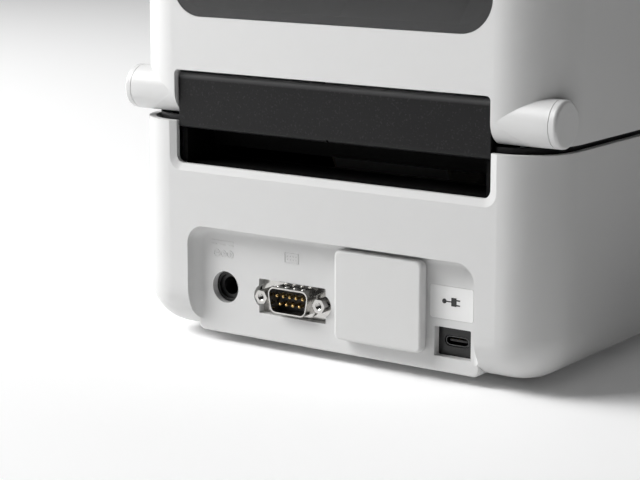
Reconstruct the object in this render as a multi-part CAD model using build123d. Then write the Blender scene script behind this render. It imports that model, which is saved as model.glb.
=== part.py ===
from build123d import *
import math
import os

# Desktop thermal label printer: white clamshell case, black roll chassis, rear slot for
# fan-fold media, rear connector bay, platen drive, roll guides, floating print head.
#
# Millimetres: +X is the user's right, -Y the front with the label exit, +Y the rear with the
# connectors, +Z up. The origin is on the table, under the middle of the body.

# ---- driving dimensions ------------------------------------------------------------------
BODY_W, BODY_D, BODY_H = 174.0, 224.0, 155.0
CASE_BOTTOM = 3.5          # underside of the case above the table
CASE_RIM = 80.0            # top edge of the lower case
SEAM = 2.3                 # open joint between lower case and cover
CASE_WALL, COVER_WALL = 2.5, 3.0
CASE_CORNER_R, COVER_CORNER_R = 19.0, 21.0
CASE_LOW_R, COVER_TOP_R = 16.0, 18.0
HINGE_R = 8.0              # round of the cover's rear foot, about the hinge axis
BARREL_R, BARREL_END, CAP_T = 7.95, 85.6, 3.0
HINGE_PIN_R, RUN_GAP = 3.0, 0.05
FIT = 0.3                  # gap between parts that sit beside each other

PANEL_INSET, PANEL_HALF_W, BAY_HALF_W, BAY_TOP = 5.3, 59.5, 60.0, 43.0
PANEL_WALL = 3.0
JACK_X, JACK_Z, JACK_HOLE_R = 46.9, 20.6, 5.8
JACK_BORE_R, JACK_PIN_R = 3.3, 1.25
SERIAL_X, SERIAL_Z, SERIAL_PITCH = 17.3, 19.5, 24.99
SERIAL_CUT_W, SERIAL_CUT_H, SERIAL_LOBE_R = 29.0, 12.6, 4.2
USB_X, USB_Z, USB_CUT_W, USB_CUT_H = -48.8, 14.0, 14.3, 10.3
BLANK_X, BLANK_Z, BLANK_W, BLANK_H, BLANK_T = -21.2, 25.4, 35.6, 31.6, 4.2
LABEL_X, LABEL_Z, LABEL_W, LABEL_H, LABEL_T = -48.3, 27.6, 16.8, 11.2, 0.2

NOTCH_HALF_W, NOTCH_LOW, NOTCH_TOP = 65.0, 65.0, 98.5
BEVEL_W, BEVEL_D = 2.6, 0.9
SLOT_HALF_W, SLOT_TOP, SLIT_H = 62.0, 77.5, 4.4
SLOT_PANEL_TOP, SLOT_PANEL_T, CHANNEL_WALL, CHANNEL_LEG = 97.6, 2.0, 2.0, 2.0
EXIT_HALF_W, EXIT_LOW, MOUTH_TOP = 62.0, 69.0, 87.5
EAR_IN, EAR_OUT, EAR_R = 57.5, 63.5, 6.0
CAP_STEM_R = 4.0

SHELL_W, SHELL_H, SHELL_T, SHELL_OUT = 18.0, 9.4, 0.55, 5.7
JACKSCREW_OUT, JACKSCREW_BORE_R = 4.6, 1.25

ROLL_Y, ROLL_Z, ROLL_R, ROLL_W = 26.0, 86.0, 50.0, 50.8
CORE_R, CORE_T, HUB_R = 12.7, 1.5, 12.0
TUB_R, TUB_WALL, TUB_HALF_W = 66.0, 2.0, 66.0
DECK_TOP, DECK_T = 79.5, 2.0
GUIDE_T = 3.0
RACK_M, RACK_TEETH, RACK_Z0, RACK_Z1 = 0.8, 12, 12.4, 15.4

PRINT_Z = 80.5             # height of the print line, where head and platen meet
PLATEN_Y, PLATEN_R, PLATEN_L, PLATEN_SHAFT_R = -92.0, 7.5, 112.0, 3.0
GEAR_M, GEAR_W = 0.6, 4.5
TEETH_PLATEN, TEETH_IDLER_SMALL, TEETH_IDLER_BIG, TEETH_MOTOR = 30, 20, 60, 16
MOTOR_Y, MOTOR_Z, MOTOR_R, MOTOR_L = -64.0, 48.0, 20.0, 20.0
CHEEK_X, CHEEK_T, BUSH_R = 59.0, 3.0, 5.0
TEAR_T, TEAR_HALF_W, TEAR_TOP, TOOTH_PITCH = 0.8, 57.0, 81.0, 2.0
HEAD_W, HEAD_GAP, SINK_TOP = 114.0, 0.1, 88.0
HEAD_POSTS_X, HEAD_POST_Y, HEAD_POST_R = 48.0, -76.0, 2.0
SPRINGS_X, SPRING_Y = 28.0, -88.0
LINER_LOW, LINER_T = 97.0, 2.5
HEAD_SPRING_L, HEAD_SPRING_R, HEAD_SPRING_WIRE = 9.0, 3.5, 0.6
WINDOW_HALF_W, WINDOW_LOW, WINDOW_R, WINDOW_FRONT, WINDOW_T = 65.3, 117.6, 12.0, -58.0, 1.8
CONTROL_X, CONTROL_Z, CONTROL_W, CONTROL_H, CONTROL_INSET = 38.0, 48.0, 66.0, 20.0, 2.0
BUTTON_R, KEY_W, KEY_H, LAMP_PITCH = 5.0, 12.0, 7.0, 3.6
LATCH_Y, LATCH_Z, LATCH_R, LATCH_TURN = -50.0, 72.0, 2.5, 16.0
CATCH_Z, CATCH_R = 86.5, 2.0
SENSOR_Y, SENSOR_Z, SENSOR_RAIL_R, SENSOR_SLOT = -67.0, 74.0, 1.5, 52.0
USB_SHELL_H = 3.26
BOARD_TOP, BOARD_T = USB_Z - USB_SHELL_H / 2, 1.6
SCREW_R, SCREW_HEAD_R = 1.5, 2.9

# ---- places worked out from them ---------------------------------------------------------
HALF_W, REAR, FRONT = BODY_W / 2, BODY_D / 2, -BODY_D / 2
COVER_LOW = CASE_RIM + SEAM
HINGE_Y, HINGE_Z = REAR - HINGE_R, COVER_LOW + HINGE_R
PANEL_Y = REAR - PANEL_INSET
PANEL_BACK = PANEL_Y - PANEL_WALL
COVER_IN = HALF_W - COVER_WALL
PLATEN_Z = PRINT_Z - PLATEN_R
SINK_LOW = PRINT_Z + HEAD_GAP + 1.0
HOOK_X0, HOOK_X1 = COVER_IN - 7.0, COVER_IN - 4.0
LEVER_IN = HALF_W - 0.8
CATCH_Y = LATCH_Y + 4.0
TEAR_Y = FRONT + 9.6
CONTROL_FACE, KEYBOARD_Y = FRONT + 0.8, FRONT + 8.0
BUTTONS_AT = {"power": CONTROL_X - 23, "feed": CONTROL_X - 5, "mode": CONTROL_X + 11}
LAMPS_AT = [CONTROL_X + 21 + LAMP_PITCH * k for k in range(3)]
CHASSIS_HALF_W = COVER_IN - 0.6
DECK_LOW = DECK_TOP - DECK_T
GUIDE_FACE = ROLL_W / 2 + 0.8
BAFFLE_Y = ROLL_Y + TUB_R + 0.9        # rear face of the wall across the media channel
CHANNEL_Y0, CHANNEL_Y1 = BAFFLE_Y + 0.8, REAR - 5.5
RACK_PITCH_R = RACK_M * RACK_TEETH / 2
STEM_NEAR, STEM_FAR = RACK_PITCH_R + 1.4, RACK_PITCH_R + 5.4
PLATE_OPEN_X, PLATE_OPEN_Y0, PLATE_OPEN_Y1, PLATE_LIP = 62.0, -90.0, 84.0, 6.0
PLATE_TOP = CASE_BOTTOM + CASE_WALL
PLATE_LIP_T = 1.2
FOOT_R, FOOT_POCKET = 8.0, 0.7
FEET_AT = [(x, y) for x in (-50, 50) for y in (-78, 72)]
PLATE_SCREWS_AT = [(x, y) for x in (-65, 65) for y in (-62, 56)]
POSTS_AT = [(x, y) for x in (-72, 72) for y in (-30, 38)]
BOARD_SCREWS_AT = [(x, y) for x in (-56, 56) for y in (52, 78)]
BOARD_X, BOARD_Y0, BOARD_Y1 = 61.0, 46.0, PANEL_BACK - 1.8


# ---- small helpers -----------------------------------------------------------------------
def block(x0, x1, y0, y1, z0, z1):
    return Pos((x0 + x1) / 2, (y0 + y1) / 2, (z0 + z1) / 2) * Box(x1 - x0, y1 - y0, z1 - z0)


def rod_x(x0, x1, y, z, r):
    return Pos((x0 + x1) / 2, y, z) * Rot(0, 90, 0) * Cylinder(r, x1 - x0)


def rod_y(x, y0, y1, z, r):
    return Pos(x, (y0 + y1) / 2, z) * Rot(90, 0, 0) * Cylinder(r, y1 - y0)


def rod_z(x, y, z0, z1, r):
    return Pos(x, y, (z0 + z1) / 2) * Cylinder(r, z1 - z0)


def both_sides(shape):
    """The shape and its mirror image across the middle of the body."""
    return shape + mirror(shape, Plane.YZ)


def group(*shapes):
    """Separate solids kept in one node."""
    return Compound(children=[s for shape in shapes for s in shape.solids()])


def tall_block(half_w, y0, y1, z0, z1, corner_r):
    body = block(-half_w, half_w, y0, y1, z0, z1)
    return fillet(body.edges().filter_by(Axis.Z), corner_r)


def plate_xz(w, h, r, x, z, y0, y1):
    """A rounded rectangle seen from the rear, from y0 to y1."""
    body = block(x - w / 2, x + w / 2, y0, y1, z - h / 2, z + h / 2)
    return fillet(body.edges().filter_by(Axis.Y), r)


def flank_points(module, teeth, slack, tip_share):
    """Half of one involute tooth, from root to tip, as (radius, half angle)."""
    pitch_r = module * teeth / 2
    base_r = pitch_r * math.cos(math.radians(20))
    root_r, tip_r = pitch_r - 1.2 * module, pitch_r + tip_share * module
    half = (math.pi * module / 4 - slack / 2) / pitch_r

    def roll(r):
        a = math.acos(min(1.0, base_r / r))
        return math.tan(a) - a

    start = max(base_r, root_r)
    radii = [start + (tip_r - start) * k / 3 for k in range(4)]
    points = [(r, half + roll(pitch_r) - roll(r)) for r in radii]
    if start > root_r:
        points.insert(0, (root_r, points[0][1]))
    return points


def gear_outline(module, teeth, turn, slack=0.14, tip_share=0.9):
    flank = flank_points(module, teeth, slack, tip_share)
    corners = []
    for k in range(teeth):
        mid = turn + 2 * math.pi * k / teeth
        corners += [(r * math.cos(mid - a), r * math.sin(mid - a)) for r, a in flank]
        corners += [(r * math.cos(mid + a), r * math.sin(mid + a)) for r, a in reversed(flank)]
    return corners


def gear_x(module, teeth, turn, x0, x1, y, z, bore_r):
    """A spur gear on an X axis; turn is the angle of one tooth, from +Y towards +Z."""
    face = make_face(Polyline(*gear_outline(module, teeth, turn), close=True))
    body = extrude(Plane.YZ * face, x1 - x0)
    return Pos(x0, y, z) * body - rod_x(x0 - 1, x1 + 1, y, z, bore_r)


def meshed_turn(turn_a, teeth_a, teeth_b, direction):
    """The tooth angle that puts gear b in mesh with gear a, which lies at -direction from b."""
    share = (direction - turn_a) * teeth_a / (2 * math.pi)
    return direction + math.pi - 2 * math.pi / teeth_b * (0.5 - share)


# ---- lower case and what closes it -------------------------------------------------------
def case_block(shrink):
    body = tall_block(HALF_W - shrink, FRONT + shrink, REAR - shrink,
                      CASE_BOTTOM + shrink, CASE_RIM + 12 * (shrink > 0), CASE_CORNER_R - shrink)
    return fillet(body.faces().sort_by(Axis.Z)[0].edges(), CASE_LOW_R - shrink)


def bay_pocket():
    body = block(-BAY_HALF_W, BAY_HALF_W, PANEL_Y, REAR + 5, -5, BAY_TOP)
    body = fillet(body.edges().filter_by(Axis.Y).group_by(Axis.Z)[-1], 7.0)
    inner = body.faces().sort_by(Axis.Y)[0].edges()
    return fillet([e for e in inner if e.center().Z > 0], 3.0)


def connector_panel():
    body = block(-PANEL_HALF_W, PANEL_HALF_W, PANEL_Y - 18, PANEL_Y, CASE_BOTTOM, 24)
    body = fillet(body.edges().filter_by(Axis.Y).group_by(Axis.Z)[0], 3.0)
    low = [e for e in body.faces().sort_by(Axis.Y)[-1].edges() if e.center().Z < 23]
    return fillet(low, 0.9)


def serial_cutout(y0, y1):
    cut = plate_xz(SERIAL_CUT_W, SERIAL_CUT_H, 0.5, SERIAL_X, SERIAL_Z, y0, y1)
    for side in (-1, 1):
        cut += rod_y(SERIAL_X + side * SERIAL_PITCH / 2, y0, y1, SERIAL_Z, SERIAL_LOBE_R)
    return cut


def rear_notch(half_w, low, y0, y1, r):
    body = block(-half_w, half_w, y0, y1, low, CASE_RIM + 40)
    return fillet(body.edges().filter_by(Axis.Y).group_by(Axis.Z)[0], r)


def notch_bevel():
    """The shallow bevel round the rear notch, cut as a loft that widens to the rear."""
    y_in, y_out = REAR - BEVEL_D, REAR + 0.5
    grow = BEVEL_W * (y_out - y_in) / BEVEL_D
    faces = []
    for y, g in ((y_in, 0), (y_out, grow)):
        w, low, high = NOTCH_HALF_W + g, NOTCH_LOW - g, CASE_RIM + 5
        ring = Polyline((-w, high), (-w, low), (w, low), (w, high), close=True)
        face = make_face(ring)
        face = fillet(face.vertices().group_by(Axis.Y)[0], 3.0 + g * 0.6)
        faces.append(Plane(origin=(0, y, 0), x_dir=(1, 0, 0), z_dir=(0, -1, 0)) * face)
    return loft(faces)


def lower_case():
    body = case_block(0) - bay_pocket() + connector_panel()
    hollow = case_block(CASE_WALL)
    hollow -= block(-BAY_HALF_W - 3, BAY_HALF_W + 3, PANEL_BACK, REAR + 5, -5, BAY_TOP + 3)
    hollow += block(3 - PANEL_HALF_W, PANEL_HALF_W - 3, PANEL_BACK - 14, PANEL_BACK,
                    CASE_BOTTOM + PANEL_WALL, BAY_TOP - 6)
    body -= hollow
    # rear openings
    body -= rear_notch(NOTCH_HALF_W, NOTCH_LOW, REAR - 12, REAR + 5, 3.0)
    body -= notch_bevel()
    body -= rod_y(JACK_X, PANEL_BACK - 2, PANEL_Y + 1, JACK_Z, JACK_HOLE_R)
    body -= serial_cutout(PANEL_BACK - 1, PANEL_Y + 1)
    body -= plate_xz(USB_CUT_W, USB_CUT_H, 0.5, USB_X, USB_Z, PANEL_BACK - 1, PANEL_Y + 1)
    body -= block(BLANK_X - 8.5, BLANK_X + 8.5, PANEL_BACK - 1, PANEL_Y + 1, 13, 28)
    body -= plate_xz(LABEL_W + 0.2, LABEL_H + 0.2, 0.9, LABEL_X, LABEL_Z,
                     PANEL_Y - LABEL_T - 0.05, PANEL_Y + 1)
    # front mouth and control recess
    body -= block(-EXIT_HALF_W - FIT, EXIT_HALF_W + FIT, FRONT - 1, FRONT + 6, EXIT_LOW, CASE_RIM + 1)
    body -= control_area(CONTROL_W + 0.3, CONTROL_H + 0.3, FRONT - 1, FRONT + CONTROL_INSET)
    body -= control_area(CONTROL_W - 4, CONTROL_H - 4, FRONT - 1, FRONT + 4)
    # two posts on the front wall hold the key board
    for x in (CONTROL_X - 18, CONTROL_X + 20):
        body += rod_y(x, FRONT + CASE_WALL - 0.5, KEYBOARD_Y, CONTROL_Z - 10.6, 2.0)
    # latch shaft holes, lever recesses
    for side in (-1, 1):
        x0, x1 = sorted((side * (HALF_W - CASE_WALL - 4), side * (HALF_W + 4)))
        body -= rod_x(x0, x1, LATCH_Y, LATCH_Z, LATCH_R + RUN_GAP)
        body -= lever_recess(side)
    # bottom opening, its lip, screw bosses
    body -= block(-PLATE_OPEN_X, PLATE_OPEN_X, PLATE_OPEN_Y0, PLATE_OPEN_Y1, 0, PLATE_TOP + 4)
    body -= block(-PLATE_OPEN_X - PLATE_LIP, PLATE_OPEN_X + PLATE_LIP, PLATE_OPEN_Y0 - PLATE_LIP,
                  PLATE_OPEN_Y1 + PLATE_LIP, 0, CASE_BOTTOM + PLATE_LIP_T)
    for x, y in PLATE_SCREWS_AT:
        body += rod_z(x, y, CASE_BOTTOM + PLATE_LIP_T, 14, 3.2)
        body -= rod_z(x, y, 0, 12.5, SCREW_R)
    for x, y in POSTS_AT:
        body += rod_z(x, y, CASE_BOTTOM + 1, 8, 4.2)
        body -= rod_z(x, y, 0, 10, SCREW_R + 0.1)
        body -= rod_z(x, y, 0, CASE_BOTTOM + 1.4, SCREW_HEAD_R + 0.2)
    return body


def lever_recess(side):
    """A shallow thumb recess round each latch lever."""
    x0, x1 = sorted((side * LEVER_IN, side * (HALF_W + 5)))
    body = block(x0, x1, LATCH_Y - 13, LATCH_Y + 13, 46, CASE_RIM + 20)
    return fillet(body.edges().filter_by(Axis.X).group_by(Axis.Z)[0], 8.0)


def bottom_plate():
    body = block(-PLATE_OPEN_X + FIT, PLATE_OPEN_X - FIT, PLATE_OPEN_Y0 + FIT, PLATE_OPEN_Y1 - FIT,
                 CASE_BOTTOM, PLATE_TOP)
    lip = PLATE_LIP - FIT
    body += block(-PLATE_OPEN_X - lip, PLATE_OPEN_X + lip, PLATE_OPEN_Y0 - lip,
                  PLATE_OPEN_Y1 + lip, CASE_BOTTOM, CASE_BOTTOM + PLATE_LIP_T)
    for x, y in BOARD_SCREWS_AT:
        body += rod_z(x, y, PLATE_TOP, BOARD_TOP - BOARD_T, 3.0)
        body -= rod_z(x, y, PLATE_TOP + 0.5, BOARD_TOP, SCREW_R)
    for x, y in FEET_AT:
        body -= rod_z(x, y, 0, CASE_BOTTOM + FOOT_POCKET, FOOT_R + 0.1)
    for x, y in PLATE_SCREWS_AT:
        body -= rod_z(x, y, 0, 8, SCREW_R + 0.1)
        body -= rod_z(x, y, 0, CASE_BOTTOM + 0.8, SCREW_HEAD_R + 0.1)
    for k in range(-3, 4):
        body -= block(-20, 20, k * 6 - 11.2, k * 6 - 8.8, 0, 10)
    return body


def rubber_feet():
    foot = fillet(Cylinder(FOOT_R, CASE_BOTTOM + FOOT_POCKET).edges().group_by(Axis.Z)[0], 0.8)
    return group(*[Pos(x, y, (CASE_BOTTOM + FOOT_POCKET) / 2) * foot for x, y in FEET_AT])


def driven_screw(x, y, z_head, head_t, z_end):
    body = rod_z(x, y, z_head, z_head + head_t, SCREW_HEAD_R) + rod_z(x, y, z_head, z_end, SCREW_R)
    return body - rod_z(x, y, z_head - 0.1, z_head + 0.5, 1.1)


def case_screws():
    """Screws of the bottom plate and the chassis, driven upwards, and of the main board."""
    plate = [driven_screw(x, y, CASE_BOTTOM + 0.05, 0.7, 12) for x, y in PLATE_SCREWS_AT]
    posts = [driven_screw(x, y, CASE_BOTTOM + 0.2, 1.1, 20) for x, y in POSTS_AT]
    board = [rod_z(x, y, BOARD_TOP, BOARD_TOP + 1.6, SCREW_HEAD_R)
             + rod_z(x, y, PLATE_TOP + 1, BOARD_TOP, SCREW_R) for x, y in BOARD_SCREWS_AT]
    return group(*plate, *posts, *board)


# ---- roll chassis ------------------------------------------------------------------------
def roll_chassis():
    deck = tall_block(CHASSIS_HALF_W, FRONT + 13, REAR - 4, DECK_LOW, DECK_TOP,
                      COVER_CORNER_R - 4)
    rim = tall_block(CHASSIS_HALF_W, FRONT + 3.6, REAR - 3.6, DECK_LOW, COVER_LOW - 0.5,
                     COVER_CORNER_R - 3.6)
    rim -= tall_block(CHASSIS_HALF_W - 2, FRONT + 5.6, REAR - 5.6, 0, 100, COVER_CORNER_R - 5.6)
    high = tall_block(CHASSIS_HALF_W, FRONT + 3.6, REAR - 3.6, DECK_LOW, COVER_LOW + 2,
                      COVER_CORNER_R - 3.6)
    high -= tall_block(CHASSIS_HALF_W - 2, FRONT + 5.6, REAR - 5.6, 0, 100, COVER_CORNER_R - 5.6)
    high -= block(-90, 90, HINGE_Y - 12, REAR, 0, 100) + block(-90, 90, FRONT, -85, 0, 100)
    body = deck + rim + high
    # tub for the roll
    tub_out = TUB_HALF_W + TUB_WALL
    tub = rod_x(-tub_out, tub_out, ROLL_Y, ROLL_Z, TUB_R + TUB_WALL)
    tub -= block(-90, 90, -90, 110, DECK_LOW, 200)
    body += tub
    body -= rod_x(-TUB_HALF_W, TUB_HALF_W, ROLL_Y, ROLL_Z, TUB_R)
    # the tub's rear wall is open to the media channel
    body -= block(-SLOT_HALF_W, SLOT_HALF_W, ROLL_Y + 58, REAR, NOTCH_LOW + 0.2, SLOT_TOP)
    # the rim is left out behind the slot panel
    body -= block(-NOTCH_HALF_W - 0.6, NOTCH_HALF_W + 0.6, CHANNEL_Y1, REAR, 0, 100)
    # hinge ears
    for side in (-1, 1):
        x0, x1 = sorted((side * EAR_IN, side * EAR_OUT))
        ear = rod_x(x0, x1, HINGE_Y, HINGE_Z, EAR_R)
        ear += block(x0, x1, HINGE_Y - 14, HINGE_Y + 3.2, DECK_TOP - 1, HINGE_Z - 3)
        ear += block(x0, x1, HINGE_Y - EAR_R, HINGE_Y + 3.2, DECK_TOP - 1, HINGE_Z)
        body += ear - block(-90, 90, REAR - 3.9, REAR + 5, 70, 110)
        body -= rod_x(x0 - 1, x1 + 1, HINGE_Y, HINGE_Z, HINGE_PIN_R)
    # cheeks that carry platen, motor and latch shaft
    for side in (-1, 1):
        x0, x1 = sorted((side * CHEEK_X, side * (CHEEK_X + CHEEK_T)))
        body += block(x0, x1, FRONT + 12, LATCH_Y + 8, 26, DECK_TOP)
        body += block(x0, x1, FRONT + 8, FRONT + 14, 63, DECK_TOP)
        body -= rod_x(x0 - 1, x1 + 1, PLATEN_Y, PLATEN_Z, BUSH_R)
        body -= block(x0 - 1, x1 + 1, PLATEN_Y - BUSH_R, PLATEN_Y + BUSH_R, PLATEN_Z, 100)
        body -= rod_x(x0 - 1, x1 + 1, LATCH_Y, LATCH_Z, LATCH_R + RUN_GAP)
    body -= rod_x(CHEEK_X - 1, CHEEK_X + 5, MOTOR_Y, MOTOR_Z, 5.1)
    body -= rod_x(CHEEK_X - 1, CHEEK_X + 5, IDLER_Y, IDLER_Z, 2.0)
    for side in (-1, 1):
        body -= rod_x(*sorted((side * (CHEEK_X - 1), side * (CHEEK_X + 5))), SENSOR_Y,
                      SENSOR_Z, SENSOR_RAIL_R)
    # deck openings: platen, gears, sensor slot, latch hooks
    body -= block(-CHEEK_X, CHEEK_X, FRONT + 8, PLATEN_Y + PLATEN_R + 1.2, 60, 100)
    body -= block(CHEEK_X + CHEEK_T, 76.5, FRONT + 9, -58, DECK_LOW - 1, 100)
    body -= block(-EXIT_HALF_W - 0.6, EXIT_HALF_W + 0.6, FRONT, FRONT + 8, 60, 100)
    body -= block(-SENSOR_SLOT, SENSOR_SLOT, SENSOR_Y - 5.6, SENSOR_Y + 5.6, 70, 100)
    for side in (-1, 1):
        x0, x1 = sorted((side * (HOOK_X0 - 1), side * (COVER_IN - 1.1)))
        body -= block(x0, x1, LATCH_Y - 14, LATCH_Y + 10, 70, 100)
    # guide slots in the tub floor, pinion stud under it
    body -= block(-62, -24, ROLL_Y - STEM_FAR - 0.4, ROLL_Y - STEM_NEAR + 0.4, 10, 30)
    body -= block(24, 62, ROLL_Y + STEM_NEAR - 0.4, ROLL_Y + STEM_FAR + 0.4, 10, 30)
    body += rod_z(0, ROLL_Y, RACK_Z0 - 0.5, ROLL_Z - TUB_R - 1, 1.5)
    # legs down to the case bosses, and the front foot of the label exit
    for x, y in POSTS_AT:
        body += rod_z(x, y, 8, DECK_TOP - 0.5, 3.0)
        body -= rod_z(x, y, 7, 24, SCREW_R)
    return body


def slot_panel():
    """The black panel over the media slot. A rib seats it on the rear edge of the deck."""
    y0, out = REAR - 1.7 - SLOT_PANEL_T, NOTCH_HALF_W - 0.7
    body = block(-out, out, y0, REAR - 1.7, SLOT_TOP, SLOT_PANEL_TOP)
    body = fillet(body.edges().filter_by(Axis.X).group_by(Axis.Z)[-1].sort_by(Axis.Y)[-1], 1.9)
    body = fillet(body.edges().filter_by(Axis.X).group_by(Axis.Z)[0].sort_by(Axis.Y)[-1], 1.7)
    body += block(0.5 - EAR_IN, EAR_IN - 0.5, CHANNEL_Y1 + 0.1, y0 + 0.1, SLOT_TOP + 0.1, DECK_TOP)
    return body - block(-0.5, 0.5, y0 + 0.2, REAR, SLOT_TOP - 1, SLOT_TOP + 1.0)


def media_channel():
    """The floor and sides of the rear slot, with a leg each side and a wall across its end.

    The wall leaves a low slit, through which the web of labels runs into the tub.
    """
    low, half = NOTCH_LOW + 0.2, SLOT_HALF_W + CHANNEL_WALL
    body = block(-half, half, CHANNEL_Y0, CHANNEL_Y1, low - CHANNEL_WALL, low)
    for side in (-1, 1):
        x0, x1 = sorted((side * SLOT_HALF_W, side * half))
        body += block(x0, x1, CHANNEL_Y0, REAR - 5.2, low - CHANNEL_WALL, DECK_LOW - 0.1)
        x0, x1 = sorted((side * SLOT_HALF_W, side * (NOTCH_HALF_W - 0.7)))
        leg = block(x0, x1, REAR - 3.4 - CHANNEL_LEG, REAR - 3.4, NOTCH_LOW + 0.3, SLOT_TOP - 0.1)
        corner = leg.edges().filter_by(Axis.Y).group_by(Axis.Z)[0].sort_by(Axis.X)
        body += fillet(corner[-1 if side > 0 else 0], 2.0)
    wall = block(FIT - SLOT_HALF_W, SLOT_HALF_W - FIT, BAFFLE_Y - CHANNEL_WALL, BAFFLE_Y,
                 low - CHANNEL_WALL, DECK_LOW - 0.1)
    wall -= block(2 - SLOT_HALF_W, SLOT_HALF_W - 2, BAFFLE_Y - 5, BAFFLE_Y + 1, low, low + SLIT_H)
    step = block(FIT - SLOT_HALF_W, SLOT_HALF_W - FIT, BAFFLE_Y - 0.5, CHANNEL_Y0 + 0.5,
                 low - CHANNEL_WALL, low)
    return body + wall + step


def hinge_pins():
    return both_sides(rod_x(EAR_IN + 0.5, BARREL_END - 3.0, HINGE_Y, HINGE_Z, HINGE_PIN_R))


# ---- connectors on the rear panel --------------------------------------------------------
def power_jack():
    body = block(JACK_X - 7.2, JACK_X + 7.2, PANEL_BACK - 14, PANEL_BACK, BOARD_TOP, JACK_Z + 7)
    body = fillet(body.edges().filter_by(Axis.Y).group_by(Axis.Z)[-1], 2.5)
    body += rod_y(JACK_X, PANEL_BACK, PANEL_BACK + 0.6, JACK_Z, JACK_HOLE_R - 0.2)
    body -= rod_y(JACK_X, PANEL_BACK - 0.6, PANEL_BACK + 1, JACK_Z, 4.5)
    return body - rod_y(JACK_X, PANEL_BACK - 11, PANEL_BACK + 1, JACK_Z, JACK_BORE_R)


def power_jack_pin():
    body = rod_y(JACK_X, PANEL_BACK - 11, PANEL_BACK - 4.5, JACK_Z, JACK_PIN_R)
    return fillet(body.edges().group_by(Axis.Y)[-1], 0.6)


def d_outline(w, h, r, y0, y1):
    """The D of a nine-way plug, wider at the top, extruded from y0 to y1."""
    lean = h * math.tan(math.radians(10))
    face = make_face(Polyline((-w / 2, h / 2), (w / 2, h / 2), (w / 2 - lean, -h / 2),
                              (lean - w / 2, -h / 2), close=True))
    face = fillet(face.vertices(), r)
    plane = Plane(origin=(SERIAL_X, y1, SERIAL_Z), x_dir=(1, 0, 0), z_dir=(0, -1, 0))
    return extrude(plane * face, y1 - y0)


def serial_shell():
    y = PANEL_BACK
    body = block(SERIAL_X - 15.4, SERIAL_X + 15.4, y - 0.8, y - 0.05, SERIAL_Z - 6.25,
                 SERIAL_Z + 6.25)
    body = fillet(body.edges().filter_by(Axis.Y), 1.0)
    body += d_outline(SHELL_W + 2.2, SHELL_H + 1.8, 3.0, y - 0.8, y + 0.9)
    body += d_outline(SHELL_W, SHELL_H, 2.6, y - 0.8, y + SHELL_OUT)
    body -= d_outline(SHELL_W - 2 * SHELL_T, SHELL_H - 2 * SHELL_T, 2.1, y - 1, y + 9)
    for side in (-1, 1):
        body -= rod_y(SERIAL_X + side * SERIAL_PITCH / 2, y - 1, y + 1, SERIAL_Z, 1.6)
    return body


def serial_pin_places():
    row = 1.42
    upper = [(SERIAL_X + (k - 2) * 2.77, SERIAL_Z + row) for k in range(5)]
    return upper + [(SERIAL_X + (k - 1.5) * 2.77, SERIAL_Z - row) for k in range(4)]


def serial_insert():
    y = PANEL_BACK
    body = d_outline(SHELL_W - 2 * SHELL_T - 0.1, SHELL_H - 2 * SHELL_T - 0.1, 2.0, y - 1, y + 0.6)
    body += block(SERIAL_X - 15.2, SERIAL_X + 15.2, y - 11.5, y - 0.8, BOARD_TOP, SERIAL_Z + 6)
    for x, z in serial_pin_places():
        body -= rod_y(x, y - 7, y + 2, z, 0.5)
    for side in (-1, 1):
        body -= rod_y(SERIAL_X + side * SERIAL_PITCH / 2, y - 5, y, SERIAL_Z, SCREW_R)
    return body


def serial_pins():
    pins = []
    for x, z in serial_pin_places():
        pin = rod_y(x, PANEL_BACK - 7, PANEL_BACK + SHELL_OUT - 0.9, z, 0.5)
        pins.append(chamfer(pin.edges().group_by(Axis.Y)[-1], 0.25))
    return group(*pins)


def serial_jackscrews():
    posts = []
    for side in (-1, 1):
        x = SERIAL_X + side * SERIAL_PITCH / 2
        hexagon = extrude(Plane(origin=(x, PANEL_BACK, SERIAL_Z), x_dir=(1, 0, 0),
                                z_dir=(0, 1, 0)) * RegularPolygon(2.7, 6), JACKSCREW_OUT)
        post = hexagon & rod_y(x, PANEL_BACK, PANEL_BACK + JACKSCREW_OUT, SERIAL_Z, 2.55)
        post += rod_y(x, PANEL_BACK - 5, PANEL_BACK + 0.5, SERIAL_Z, SCREW_R)
        posts.append(post - rod_y(x, PANEL_BACK - 0.5, PANEL_BACK + 6, SERIAL_Z, JACKSCREW_BORE_R))
    return group(*posts)


def interface_blank():
    body = plate_xz(BLANK_W, BLANK_H, 2.4, BLANK_X, BLANK_Z, PANEL_Y, PANEL_Y + BLANK_T)
    body = fillet(body.faces().sort_by(Axis.Y)[-1].edges(), 1.1)
    body = chamfer(body.faces().sort_by(Axis.Y)[0].edges(), 1.3)
    body += block(BLANK_X - 8.3, BLANK_X + 8.3, PANEL_BACK - 1.5, PANEL_Y + 1, 13.2, 27.8)
    return body - block(BLANK_X - 7, BLANK_X + 7, PANEL_BACK - 2, PANEL_Y + 1.5, 14.5, 26.5)


def usb_bezel():
    y = PANEL_BACK
    body = block(USB_X - 7.6, USB_X + 7.6, y - 1.6, y, USB_Z - 7, USB_Z + 7)
    return body - plate_xz(9.5, 3.8, 1.8, USB_X, USB_Z, y - 3, y + 1)


def usb_shell():
    y = PANEL_BACK
    body = plate_xz(8.94, USB_SHELL_H, 1.6, USB_X, USB_Z, y - 8, y - 0.3)
    return body - plate_xz(8.34, 2.66, 1.3, USB_X, USB_Z, y - 7.2, y + 1)


def usb_tongue():
    return plate_xz(6.7, 0.7, 0.3, USB_X, USB_Z, PANEL_BACK - 7.2, PANEL_BACK - 1.2)


def port_label():
    y = PANEL_Y - LABEL_T
    return plate_xz(LABEL_W, LABEL_H, 0.8, LABEL_X, LABEL_Z, y, PANEL_Y)


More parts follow.
